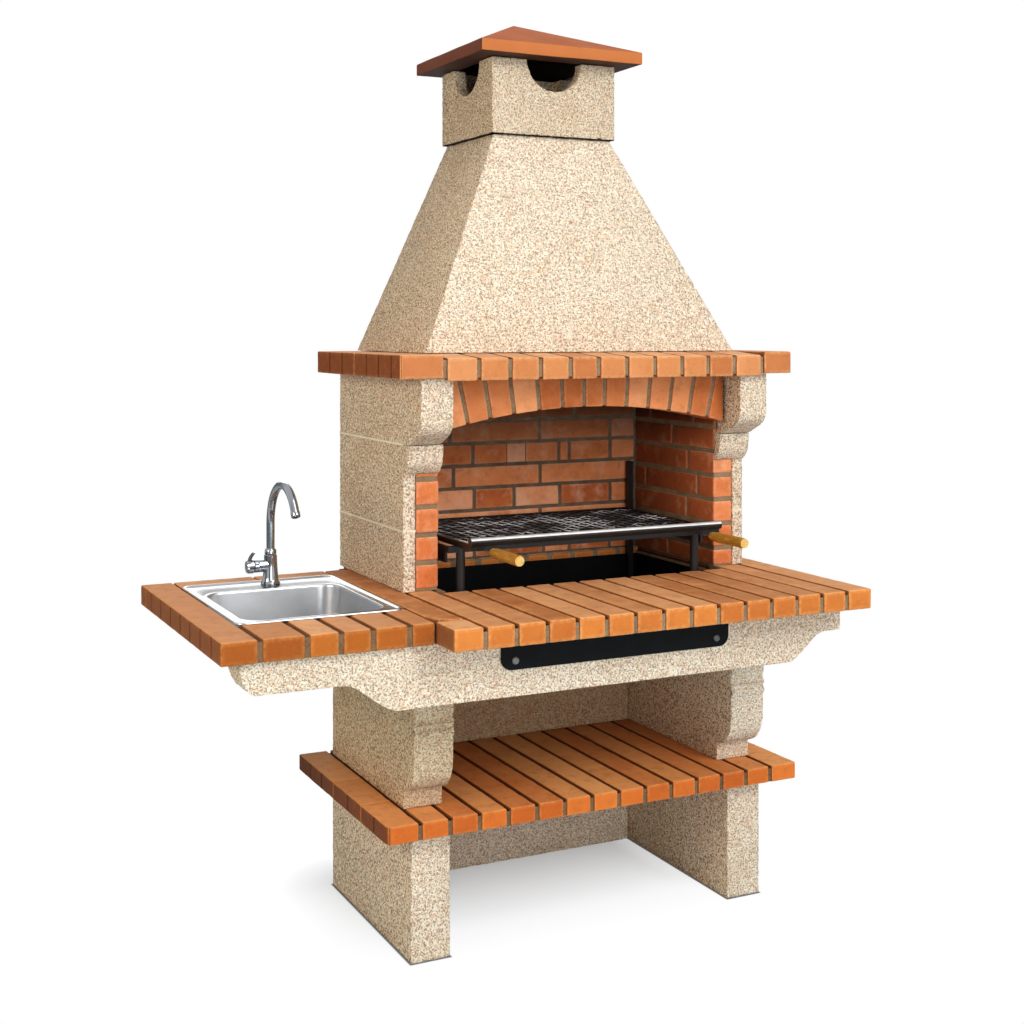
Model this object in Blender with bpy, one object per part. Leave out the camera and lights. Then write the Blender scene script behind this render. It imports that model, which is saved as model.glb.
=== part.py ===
# Outdoor masonry barbecue: concrete legs and trough, brick slabs, a brick-lined firebox
# under a hood and chimney, a pull-out grate, and a side counter with a sink and mixer tap.
# Lengths are metres and +Z is up. The pieces are drawn with x = 0 in the middle of the
# firebox, y = 0 on the front of the feet and z = 0 on the ground; the last step moves the
# whole assembly so that its origin is the middle of the ground it stands on.

import math

import bmesh
import bpy
from mathutils import Matrix, Vector

# Fits
TOUCH_GAP = 0.0003
CUT_OVERRUN = 0.02
ROUND_STEPS = 24
SMOOTH_ANGLE = 35.0

# Brickwork
JOINT_WIDTH = 0.010
JOINT_DEPTH = 0.004
CORNER_BRICK = 0.086

# Feet, pedestals and the panels between them
LEG_SPAN = 1.028
LEG_THICKNESS = 0.105
LEG_DEPTH = 0.574
FOOT_HEIGHT = 0.317
PANEL_THICKNESS = 0.054
PEDESTAL_HEIGHT = 0.337
PEDESTAL_NOSE = 0.020
TOE_SETBACK = 0.050
TOE_HEIGHT = 0.049
TOE_LEDGE = 0.005
NOSE_CURVE_HEIGHT = 0.095
BEAD_LEVEL = 0.208
BEAD_HEIGHT = 0.014
BEAD_PROUD = 0.006

# Lower shelf
SHELF_SIDE_OVERHANG = 0.083
SHELF_FRONT = -0.055
SHELF_BACK = 0.618
SHELF_THICKNESS = 0.044
SHELF_BRICKS = 15
SHELF_SIDE_BRICKS = 7

# Concrete trough that carries both counters
TROUGH_FRONT = -0.280
TROUGH_BACK = 0.550
TROUGH_LEFT = -1.018
TROUGH_RIGHT = 0.565
TROUGH_HEIGHT = 0.141
TROUGH_BEAM = 0.095
TROUGH_RIB = 0.030
TROUGH_REAR_RIB = 0.070
TROUGH_PLATE = 0.094
HAUNCH_RISE = 0.069
LEFT_HAUNCH_LOW = -0.655
LEFT_HAUNCH_HIGH = -0.790
RIGHT_HAUNCH_LOW = 0.400
RIGHT_HAUNCH_HIGH = 0.515
BEAM_END_REACH = 0.030
BEAM_END_RISE = 0.050
# The beam's rounded left end, from its upright face down to its underside
BEAM_END_SHARES = ((0.0, 1.0), (0.25, 0.55), (0.6, 0.18), (1.0, 0.0))
WING_BACK = 0.450
WING_LEFT_SETBACK = 0.064

# Main counter
COUNTER_SPAN = 1.148
COUNTER_FRONT = -0.394
COUNTER_BACK = 0.545
COUNTER_THICKNESS = 0.051
COUNTER_BRICKS = 15

# Sink counter
SINK_COUNTER_WIDTH = 0.490
SINK_COUNTER_FRONT = -0.300
SINK_COUNTER_BACK = 0.470
SINK_COUNTER_BRICKS = 6
SINK_COUNTER_SIDE_BRICKS = 8

# Firebox walls
WALL_SPAN = 1.014
WALL_STONE = 0.034
LINING_THICKNESS = 0.063
BACK_LINING_THICKNESS = 0.027
WALL_FRONT = 0.068
WALL_BACK = 0.535
COURSE_HEIGHTS = (0.150, 0.215, 0.166)
LOWER_CORBEL_REACH = 0.033
LOWER_CORBEL_HEIGHT = 0.075
# Each corbel's outline as shares of its reach and height, from its foot up
LOWER_CORBEL_SHARES = (
    (0.0, 0.0), (0.24, 0.056), (0.52, 0.19), (0.73, 0.31), (0.85, 0.42), (0.925, 0.62), (0.985, 0.82), (1.0, 1.0),
)
LOWER_CORBEL_SIDE_SETBACK = 0.001
UPPER_CORBEL_REACH = 0.113
CORBEL_SIDE_SETBACK = 0.010
UPPER_CORBEL_CURVE = 0.062
UPPER_CORBEL_SHARES = (
    (0.0, 0.0), (0.14, 0.07), (0.3, 0.16), (0.475, 0.266), (0.65, 0.385),
    (0.8, 0.5), (0.89, 0.64), (0.944, 0.77), (0.98, 0.89), (1.0, 1.0),
)
LINING_ROWS = 8
LINING_BRICK_LENGTH = 0.230

# Arch
ARCH_FACE_SETBACK = 0.046
ARCH_THICKNESS = 0.100
ARCH_RISE = 0.050
ARCH_END_HEIGHT = 0.132
ARCH_BRICKS = 13

# Mantel slab
MANTEL_SPAN = 1.142
MANTEL_FRONT = -0.071
MANTEL_BACK = 0.537
MANTEL_THICKNESS = 0.059
MANTEL_BRICKS = 13
MANTEL_CORNER_BRICK = 0.107
MANTEL_SIDE_BRICKS = 7
FLUE_SIDE_SETBACK = 0.040
FLUE_FRONT = 0.135
FLUE_BACK = 0.465

# Hood
HOOD_BASE_SPAN = 0.916
HOOD_TOP_SPAN = 0.356
HOOD_FRONT = 0.042
HOOD_BACK = 0.533
HOOD_TOP_FRONT = 0.236
HOOD_TOP_BACK = 0.549
HOOD_HEIGHT = 0.583
HOOD_WALL = 0.036

# Chimney block
NECK_OVERHANG = 0.011
NECK_HEIGHT = 0.205
NECK_WALL = 0.038
VENT_RADIUS = 0.083

# Roof cap
CAP_OVERHANG = 0.055
CAP_FASCIA = 0.028
CAP_RISE = 0.104
CAP_SHELL = 0.030

# Ember pan
PAN_FRONT = 0.034
PAN_REAR_SETBACK = 0.003
PAN_SIDE_SETBACK = 0.005
PAN_SHEET = 0.003
PAN_RIM_DROP = 0.018
RECESS_DEPTH = 0.054
RECESS_CLEARANCE = 0.002

# Stand for the grate; the whole grill stands a little to the left in the firebox
GRILL_SHIFT = -0.009
STAND_LEG_SETBACK = 0.062
STAND_LEG_RADIUS = 0.0115
STAND_FOOT_CLEARANCE = 0.002
STAND_TOP = 1.000
STAND_BAR = 0.016
STAND_SIDE_BAR = 0.042
STAND_FLAT = 0.006
STAND_POST = 0.016
STAND_POST_TOP = 1.150
STAND_POST_SETBACK = 0.006
STAND_SIDE_CLEARANCE = 0.018
STAND_FOOT_RADIUS = 0.017
STAND_FOOT_HEIGHT = 0.005

# Grate
GRATE_SIDE_CLEARANCE = 0.046
GRATE_FRONT = -0.040
GRATE_BACK = 0.456
RAIL_RADIUS = 0.011
RAIL_LIFT = 0.0105
RAIL_OVERHANG = 0.002
GRATE_SIDE_WIDTH = 0.008
GRATE_SIDE_HEIGHT = 0.014
BAR_COUNT = 25
BAR_SIZE = 0.005
WIRE_COUNT = 5
WIRE_SIZE = 0.004

# Grate handles
HANDLE_SETBACK = 0.0905
GRIP_LENGTH = 0.150
GRIP_RADIUS = 0.0135
GRIP_NECK_RADIUS = 0.0105
GRIP_START = 0.030
# The grip's radius and the place along it, as shares, from its neck to its end
GRIP_SWELL_SHARES = ((1.0, 0.15), (0.97, 0.55), (1.0, 0.9), (0.9, 1.0))
TANG_WIDTH = 0.010
TANG_THICKNESS = 0.004
TANG_IN_GRIP = 0.070
TANG_FIT = 0.0004

# Front plate and its bolts
PLATE_LEFT = -0.408
PLATE_RIGHT = 0.216
PLATE_THICKNESS = 0.004
PLATE_DROP = 0.0745
PLATE_TOP_GAP = 0.004
PLATE_CORNER = 0.026
BOLT_INSET = 0.036
BOLT_RISE = 0.0215
BOLT_RADIUS = 0.0045
BOLT_HEAD_RADIUS = 0.009
BOLT_HEAD_HEIGHT = 0.005
BOLT_LENGTH = 0.040
# The head's radius and height, as shares, from its crown to its seat
BOLT_HEAD_SHARES = ((0.5, 1.0), (0.85, 0.7), (1.0, 0.2), (1.0, 0.0))

# Sink
SINK_LEFT_MARGIN = 0.080
SINK_RIGHT_MARGIN = 0.009
SINK_FRONT = -0.138
SINK_BACK = 0.385
SINK_CORNER = 0.026
SINK_SHEET = 0.0015
SINK_BEAD = 0.004
SINK_BEAD_WIDTH = 0.012
SINK_LAP = 0.014
BASIN_SIDE_MARGIN = 0.028
BASIN_FRONT_MARGIN = 0.032
BASIN_DECK = 0.110
BASIN_CORNER = 0.048
BASIN_DEPTH = 0.140
BASIN_TAPER = 0.012
BASIN_FLOOR_ROUND = 0.024
DRAIN_RADIUS = 0.034
DRAIN_FLANGE = 0.010
DRAIN_RECESS = 0.004
DRAIN_TAIL_RADIUS = 0.024
DRAIN_TAIL_WALL = 0.0023
DRAIN_TAIL_LENGTH = 0.060
DRAIN_WALL = 0.003
DRAIN_NUT_RADIUS = 0.043
DRAIN_NUT_HEIGHT = 0.010
STRAINER_SHEET = 0.002
STRAINER_KNOB_HEIGHT = 0.014
STRAINER_FIT = 0.0015
# Radii as shares of the drain's mouth, with depths or heights as shares of the knob's
STRAINER_BASKET_SHARES = ((0.6, 1.0), (1.0, 0.6), (1.0, 0.0))
STRAINER_KNOB_SHARES = ((0.3, 0.6), (0.4, 0.8), (0.2, 1.0))
STRAINER_KNOB_ROOT_SHARE = 0.4

# Tap
TAP_SIDE_OFFSET = 0.222
TAP_REAR_OFFSET = 0.045
TAP_FLANGE_RADIUS = 0.026
TAP_FLANGE_HEIGHT = 0.005
TAP_BODY_RADIUS = 0.0165
TAP_BODY_HEIGHT = 0.068
# The body's radius and height, as shares, up its flared foot
TAP_FLARE_SHARES = ((1.36, 0.0), (1.24, 0.12), (1.13, 0.35), (1.04, 0.65))
TAP_SHANK_RADIUS = 0.0125
TAP_SHANK_LENGTH = 0.045
TAP_HOLE_CLEARANCE = 0.001
TAP_NUT_RADIUS = 0.024
TAP_NUT_HEIGHT = 0.010
TAP_AXIS_HEIGHT = 0.040
CARTRIDGE_RADIUS = 0.0155
CARTRIDGE_LENGTH = 0.030
CARTRIDGE_ROOT_SHARE = 0.6
CAP_RADIUS = 0.0175
CAP_LENGTH = 0.018
# The cap's radius and the place along it, as shares, round its outer edge
CAP_EDGE_SHARES = ((1.0, 0.7), (0.8, 0.93), (0.4, 1.0))
CAP_PIN_RADIUS = 0.006
CAP_PIN_LENGTH = 0.010
LEVER_LENGTH = 0.024
LEVER_WIDTH = 0.019
LEVER_THICKNESS = 0.005
LEVER_LEAN = -27.0
LEVER_SLOT_FLARE = 38.0
LEVER_ROOT_RADIUS = 0.0045
LEVER_SWING = 25.0
LEVER_FIT = 0.0006
LEVER_PIVOT_SHARE = 0.6
LEVER_ROOT_WIDTH_SHARE = 0.8
LEVER_TIP_THICKNESS_SHARE = 0.65
SPOUT_RADIUS = 0.0105
SPOUT_WALL = 0.0015
SPOUT_COLLAR_RADIUS = 0.0150
SPOUT_COLLAR_HEIGHT = 0.016
SPOUT_COLLAR_SHOULDER_SHARE = 0.75
SPOUT_RISE = 0.079
SPOUT_BEND = 0.108
SPOUT_SWEEP = 150.0
SPOUT_DROP = 0.010
SPOUT_SPIGOT = 0.012
AERATOR_RADIUS = 0.0125
AERATOR_HEIGHT = 0.014
AERATOR_LAP = 0.008
AERATOR_BORE_SHARE = 0.7

# Levels, from the ground up
SHELF_BASE = FOOT_HEIGHT + TOUCH_GAP
SHELF_TOP = SHELF_BASE + SHELF_THICKNESS
PEDESTAL_BASE = SHELF_TOP + TOUCH_GAP
PEDESTAL_TOP = PEDESTAL_BASE + PEDESTAL_HEIGHT
TROUGH_BASE = PEDESTAL_TOP + TOUCH_GAP
TROUGH_TOP = TROUGH_BASE + TROUGH_HEIGHT
COUNTER_BASE = TROUGH_TOP + TOUCH_GAP
COUNTER_TOP = COUNTER_BASE + COUNTER_THICKNESS
WALL_BASE = COUNTER_TOP + TOUCH_GAP
WALL_TOP = WALL_BASE + sum(COURSE_HEIGHTS) + TOUCH_GAP * (len(COURSE_HEIGHTS) - 1)
MANTEL_BASE = WALL_TOP + TOUCH_GAP
MANTEL_TOP = MANTEL_BASE + MANTEL_THICKNESS
HOOD_BASE = MANTEL_TOP + TOUCH_GAP
HOOD_TOP = HOOD_BASE + HOOD_HEIGHT
NECK_BASE = HOOD_TOP + TOUCH_GAP
NECK_TOP = NECK_BASE + NECK_HEIGHT
CAP_BASE = NECK_TOP + TOUCH_GAP

# Planes that several pieces share
LEG_OUTER = LEG_SPAN / 2
LEG_INNER = LEG_OUTER - LEG_THICKNESS
WALL_OUTER = WALL_SPAN / 2
STONE_INNER = WALL_OUTER - WALL_STONE
FIREBOX_HALF = STONE_INNER - LINING_THICKNESS
CORBEL_INNER = FIREBOX_HALF + CORBEL_SIDE_SETBACK
LOWER_CORBEL_INNER = FIREBOX_HALF + LOWER_CORBEL_SIDE_SETBACK
STONE_BACK_FRONT = WALL_BACK - WALL_STONE
FIREBOX_BACK = STONE_BACK_FRONT - BACK_LINING_THICKNESS
COUNTER_LEFT = -COUNTER_SPAN / 2
COUNTER_RIGHT = COUNTER_SPAN / 2
SINK_COUNTER_RIGHT = COUNTER_LEFT - TOUCH_GAP
SINK_COUNTER_LEFT = SINK_COUNTER_RIGHT - SINK_COUNTER_WIDTH
SINK_LEFT = SINK_COUNTER_LEFT + SINK_LEFT_MARGIN
SINK_RIGHT = SINK_COUNTER_RIGHT - SINK_RIGHT_MARGIN
PAN_HALF = FIREBOX_HALF - PAN_SIDE_SETBACK
PAN_BACK = FIREBOX_BACK - PAN_REAR_SETBACK
RECESS_FLOOR = TROUGH_TOP - RECESS_DEPTH
PAN_BASE = RECESS_FLOOR + TOUCH_GAP
PAN_FLOOR = PAN_BASE + PAN_SHEET
TAP_X = SINK_LEFT + TAP_SIDE_OFFSET
TAP_Y = SINK_BACK - TAP_REAR_OFFSET
SINK_DECK = COUNTER_TOP + TOUCH_GAP + SINK_SHEET + TOUCH_GAP


def make_material(name, color, roughness, metallic=0.0):
    material = bpy.data.materials.new(name)
    material.use_nodes = True
    shader = material.node_tree.nodes["Principled BSDF"]
    shader.inputs["Base Color"].default_value = (*color, 1.0)
    shader.inputs["Roughness"].default_value = roughness
    shader.inputs["Metallic"].default_value = metallic
    material.diffuse_color = (*color, 1.0)
    return material


def clear_scene():
    for item in list(bpy.data.objects):
        bpy.data.objects.remove(item, do_unlink=True)


def add_part(name, solid, look, origin=(0.0, 0.0, 0.0), parent=None, smooth=False):
    """Turn a bmesh drawn in the assembly's frame into an object with its own origin."""
    bmesh.ops.remove_doubles(solid, verts=solid.verts, dist=TOUCH_GAP / 10)
    bmesh.ops.recalc_face_normals(solid, faces=solid.faces)
    bmesh.ops.translate(solid, verts=solid.verts, vec=-Vector(origin))
    mesh = bpy.data.meshes.new(name)
    solid.to_mesh(mesh)
    solid.free()
    piece = bpy.data.objects.new(name, mesh)
    bpy.context.collection.objects.link(piece)
    color, roughness, metallic = look
    mesh.materials.append(make_material(name, color, roughness, metallic))
    piece.location = origin
    if smooth:
        mesh.shade_smooth()
        mesh.set_sharp_from_angle(angle=math.radians(SMOOTH_ANGLE))
    piece.parent = parent or assembly
    if parent:
        piece.location = Vector(origin) - parent.location
    return piece


def combine(piece, solid, operation):
    """Cut a bmesh drawn in the assembly's frame out of a piece, or join it on."""
    bmesh.ops.recalc_face_normals(solid, faces=solid.faces)
    mesh = bpy.data.meshes.new(piece.name + "_tool")
    solid.to_mesh(mesh)
    solid.free()
    tool = bpy.data.objects.new(piece.name + "_tool", mesh)
    bpy.context.collection.objects.link(tool)
    tool.parent = assembly
    tool.hide_render = True
    tool.display_type = 'WIRE'
    step = piece.modifiers.new(operation.lower(), 'BOOLEAN')
    step.operation = operation
    step.solver = 'EXACT'
    step.object = tool
    return tool


def cut(piece, solid):
    return combine(piece, solid, 'DIFFERENCE')


def join(piece, solid):
    return combine(piece, solid, 'UNION')


def place(axis, depth, first, second):
    """A point from its place along one axis and its two places in the plane across it."""
    point = [first, second]
    point.insert("XYZ".index(axis), depth)
    return Vector(point)


def add_prism(solid, outline, axis, start, end):
    """Extrude a closed outline, given in the plane across an axis, from start to end."""
    near = [solid.verts.new(place(axis, start, a, b)) for a, b in outline]
    far = [solid.verts.new(place(axis, end, a, b)) for a, b in outline]
    count = len(outline)
    solid.faces.new(near)
    solid.faces.new(far)
    for i in range(count):
        j = (i + 1) % count
        solid.faces.new((near[i], near[j], far[j], far[i]))
    return near + far


def prism(outline, axis, start, end):
    solid = bmesh.new()
    add_prism(solid, outline, axis, start, end)
    return solid


def add_box(solid, x, y, z):
    return add_prism(solid, [(x[0], y[0]), (x[1], y[0]), (x[1], y[1]), (x[0], y[1])], "Z", *z)


def box(x, y, z):
    solid = bmesh.new()
    add_box(solid, x, y, z)
    return solid


def add_loft(solid, loops, closed):
    """Skin a row of loops of equal length; the ends are capped unless the row is closed."""
    rings = [[solid.verts.new(point) for point in loop] for loop in loops]
    count = len(rings[0])
    pairs = list(zip(rings, rings[1:]))
    if closed:
        pairs.append((rings[-1], rings[0]))
    else:
        solid.faces.new(rings[0])
        solid.faces.new(rings[-1])
    for low, high in pairs:
        for i in range(count):
            j = (i + 1) % count
            solid.faces.new((low[i], low[j], high[j], high[i]))


def ring(center, radius, axis, level, steps=ROUND_STEPS):
    points = []
    for i in range(steps):
        angle = 2 * math.pi * i / steps
        first = center[0] + radius * math.cos(angle)
        second = center[1] + radius * math.sin(angle)
        points.append(place(axis, level, first, second))
    return points


def turned(profile, center, axis, closed=False, steps=ROUND_STEPS):
    """Turn (radius, level) pairs about an axis; a closed profile leaves a bore."""
    solid = bmesh.new()
    add_loft(solid, [ring(center, radius, axis, level, steps) for radius, level in profile], closed)
    return solid


def rod(center, radius, axis, span, steps=ROUND_STEPS):
    solid = bmesh.new()
    add_loft(solid, [ring(center, radius, axis, level, steps) for level in span], closed=False)
    return solid


def rounded_rectangle(x, y, radius, level, steps=5):
    points = []
    corners = ((x[1], y[1], 0), (x[0], y[1], 1), (x[0], y[0], 2), (x[1], y[0], 3))
    for corner_x, corner_y, quarter in corners:
        toward_x = -1 if quarter in (0, 3) else 1
        toward_y = -1 if quarter in (0, 1) else 1
        for i in range(steps + 1):
            angle = (quarter + i / steps) * math.pi / 2
            px = corner_x + toward_x * radius + radius * math.cos(angle)
            py = corner_y + toward_y * radius + radius * math.sin(angle)
            points.append(Vector((px, py, level)))
    return points


def inset(span, distance):
    return (span[0] + distance, span[1] - distance)


def quarter_curve(center, reach, rise, start, end, steps):
    """Points of an ellipse's arc between two angles in degrees."""
    points = []
    for i in range(steps + 1):
        angle = math.radians(start + (end - start) * i / steps)
        points.append((center[0] + reach * math.cos(angle), center[1] + rise * math.sin(angle)))
    return points


def mirrored(span, side):
    """The span of x on the right (side 1) or its mirror image on the left (side -1)."""
    return tuple(sorted((span[0] * side, span[1] * side)))


def joint_places(start, end, count, first=0.0):
    """Middles of the joints between bricks; the end bricks may be wider than the rest."""
    if first == 0.0:
        step = (end - start) / count
        return [start + step * i for i in range(1, count)]
    step = (end - start - 2 * first) / (count - 2)
    return [start + first + step * i for i in range(count - 1)]


def front_joints(places, front, back, base, top):
    """Grooves down the front edge of a slab and back over its top."""
    solid = bmesh.new()
    outline = [
        (front - CUT_OVERRUN, base - CUT_OVERRUN),
        (front + JOINT_DEPTH, base - CUT_OVERRUN),
        (front + JOINT_DEPTH, top - JOINT_DEPTH),
        (back, top - JOINT_DEPTH),
        (back, top + CUT_OVERRUN),
        (front - CUT_OVERRUN, top + CUT_OVERRUN),
    ]
    for x in places:
        add_prism(solid, outline, "X", x - JOINT_WIDTH / 2, x + JOINT_WIDTH / 2)
    return solid


def side_joints(places, edge, inward, reach, base, top):
    """Grooves down one side of a slab and inward over its top as far as reach."""
    solid = bmesh.new()
    for y, run in places:
        outline = [
            (edge - inward * CUT_OVERRUN, base - CUT_OVERRUN),
            (edge + inward * JOINT_DEPTH, base - CUT_OVERRUN),
            (edge + inward * JOINT_DEPTH, top - JOINT_DEPTH),
            (edge + inward * reach * run, top - JOINT_DEPTH),
            (edge + inward * reach * run, top + CUT_OVERRUN),
            (edge - inward * CUT_OVERRUN, top + CUT_OVERRUN),
        ]
        if not run:
            outline = [
                (edge - inward * CUT_OVERRUN, base - CUT_OVERRUN),
                (edge + inward * JOINT_DEPTH, base - CUT_OVERRUN),
                (edge + inward * JOINT_DEPTH, top + CUT_OVERRUN),
                (edge - inward * CUT_OVERRUN, top + CUT_OVERRUN),
            ]
        add_prism(solid, outline, "Y", y - JOINT_WIDTH / 2, y + JOINT_WIDTH / 2)
    return solid


STONE = ((0.72, 0.60, 0.45), 0.85, 0.0)
BRICK = ((0.60, 0.22, 0.07), 0.70, 0.0)
TILE = ((0.55, 0.18, 0.08), 0.60, 0.0)
BLACK_STEEL = ((0.02, 0.02, 0.022), 0.45, 0.8)
STAINLESS = ((0.60, 0.61, 0.62), 0.28, 1.0)
CHROME = ((0.75, 0.76, 0.78), 0.10, 1.0)
WOOD = ((0.62, 0.38, 0.12), 0.55, 0.0)
PLASTIC = ((0.80, 0.80, 0.78), 0.50, 0.0)


def make_feet_and_panels():
    for name, side in (("left", -1), ("right", 1)):
        leg = mirrored((LEG_INNER, LEG_OUTER), side)
        add_part("foot_" + name, box(leg, (0.0, LEG_DEPTH), (0.0, FOOT_HEIGHT)), STONE)
        outline = pedestal_outline()
        add_part("pedestal_" + name, prism(outline, "X", *leg), STONE)
    across = (-LEG_INNER + TOUCH_GAP, LEG_INNER - TOUCH_GAP)
    deep = (LEG_DEPTH - PANEL_THICKNESS, LEG_DEPTH)
    add_part("back_panel_lower", box(across, deep, (0.0, FOOT_HEIGHT)), STONE)
    add_part("back_panel_upper", box(across, deep, (PEDESTAL_BASE, PEDESTAL_TOP)), STONE)


def pedestal_outline():
    """Side view of a pedestal: a toe, a swelling nose, a bead and a plain head."""
    toe_top = PEDESTAL_BASE + TOE_HEIGHT
    curve_top = toe_top + NOSE_CURVE_HEIGHT
    bead = PEDESTAL_BASE + BEAD_LEVEL
    head = -PEDESTAL_NOSE - BEAD_PROUD / 2
    ledge = TOE_SETBACK - TOE_LEDGE
    nose = quarter_curve((ledge, curve_top), ledge + PEDESTAL_NOSE, NOSE_CURVE_HEIGHT, -90, -180, 8)
    half = BEAD_HEIGHT / 2
    outline = [(TOE_SETBACK, PEDESTAL_BASE), (TOE_SETBACK, toe_top)] + nose
    outline += quarter_curve((-PEDESTAL_NOSE, bead + half), BEAD_PROUD, half, -90, -270, 6)
    outline += [(head, bead + BEAD_HEIGHT), (head, PEDESTAL_TOP)]
    outline += [(LEG_DEPTH, PEDESTAL_TOP), (LEG_DEPTH, PEDESTAL_BASE)]
    return outline


def make_shelf():
    half = LEG_OUTER + SHELF_SIDE_OVERHANG
    slab = add_part(
        "lower_shelf",
        box((-half, half), (SHELF_FRONT, SHELF_BACK), (SHELF_BASE, SHELF_TOP)),
        BRICK,
    )
    columns = joint_places(-half, half, SHELF_BRICKS, CORNER_BRICK)
    cut(slab, front_joints(columns, SHELF_FRONT, SHELF_BACK + CUT_OVERRUN, SHELF_BASE, SHELF_TOP))
    for side in (-1, 1):
        rows = joint_places(SHELF_FRONT, SHELF_BACK, SHELF_SIDE_BRICKS)
        runs = [(y, 1 if i % 2 else 0) for i, y in enumerate(rows)]
        cut(slab, side_joints(runs, side * half, -side, CORNER_BRICK, SHELF_BASE, SHELF_TOP))


def beam_outline():
    """Front view of the trough's beam: deep over the legs, haunched to thinner ends."""
    top = TROUGH_TOP
    low = TROUGH_BASE
    high = TROUGH_BASE + HAUNCH_RISE
    outline = [(TROUGH_LEFT, top)]
    for reach, rise in BEAM_END_SHARES:
        outline.append((TROUGH_LEFT + BEAM_END_REACH * reach, high + BEAM_END_RISE * rise))
    outline += haunch(LEFT_HAUNCH_HIGH, high, LEFT_HAUNCH_LOW, low)
    outline += reversed(haunch(RIGHT_HAUNCH_HIGH, high, RIGHT_HAUNCH_LOW, low))
    outline += [(TROUGH_RIGHT, high), (TROUGH_RIGHT, top)]
    return outline


def haunch(high_x, high_z, low_x, low_z, steps=10):
    """A gentle S from the thin end of the beam down to its deep middle."""
    points = []
    for i in range(steps + 1):
        t = i / steps
        ease = t * t * (3 - 2 * t)
        points.append((high_x + (low_x - high_x) * t, high_z + (low_z - high_z) * ease))
    return points


def make_trough():
    beam = (TROUGH_FRONT, TROUGH_FRONT + TROUGH_BEAM)
    body = (TROUGH_FRONT + TROUGH_BEAM / 2, TROUGH_BACK)
    trough = add_part("counter_trough", prism(beam_outline(), "Y", *beam), STONE)
    plate = (TROUGH_TOP - TROUGH_PLATE, TROUGH_TOP)
    join(trough, box((COUNTER_LEFT, LEG_OUTER), body, plate))
    wing = (TROUGH_BASE + HAUNCH_RISE, TROUGH_TOP)
    wing_left = TROUGH_LEFT + WING_LEFT_SETBACK
    join(trough, box((wing_left, -LEG_INNER), (body[0], WING_BACK), wing))
    join(trough, box((LEG_INNER, TROUGH_RIGHT), body, wing))
    ribs = bmesh.new()
    rib_span = (LEG_INNER - TROUGH_RIB, LEG_OUTER)
    rib_run = (-PEDESTAL_NOSE - BEAD_PROUD / 2, TROUGH_BACK)
    for side in (-1, 1):
        add_box(ribs, mirrored(rib_span, side), rib_run, (TROUGH_BASE, TROUGH_TOP - TROUGH_PLATE / 2))
    join(trough, ribs)
    rear = (TROUGH_BACK - TROUGH_REAR_RIB, TROUGH_BACK)
    join(trough, box((-LEG_INNER, LEG_INNER), rear, (TROUGH_BASE, TROUGH_TOP - TROUGH_PLATE / 2)))
    cut(trough, recess_for_pan(RECESS_FLOOR))
    cut(trough, opening_for_sink(TROUGH_BASE - CUT_OVERRUN, TROUGH_TOP + CUT_OVERRUN))
    cut(trough, bolt_holes())


def recess_for_pan(floor):
    half = PAN_HALF + RECESS_CLEARANCE
    deep = (PAN_FRONT - RECESS_CLEARANCE, PAN_BACK + RECESS_CLEARANCE)
    return box((-half, half), deep, (floor, COUNTER_TOP + CUT_OVERRUN))


def opening_for_sink(base, top):
    x = inset((SINK_LEFT, SINK_RIGHT), SINK_LAP)
    y = inset((SINK_FRONT, SINK_BACK), SINK_LAP)
    solid = bmesh.new()
    loops = [rounded_rectangle(x, y, SINK_CORNER, level) for level in (base, top)]
    add_loft(solid, loops, closed=False)
    return solid


def bolt_places():
    z = TROUGH_TOP - PLATE_TOP_GAP - PLATE_DROP + BOLT_RISE
    return [(PLATE_LEFT + BOLT_INSET, z), (PLATE_RIGHT - BOLT_INSET, z)]


def bolt_holes():
    solid = bmesh.new()
    radius = BOLT_RADIUS + TOUCH_GAP
    back = TROUGH_FRONT - TOUCH_GAP + BOLT_LENGTH
    for center in bolt_places():
        ends = (TROUGH_FRONT - CUT_OVERRUN, back)
        loops = [ring(center, radius, "Y", y, ROUND_STEPS // 2) for y in ends]
        add_loft(solid, loops, closed=False)
    return solid


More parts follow.
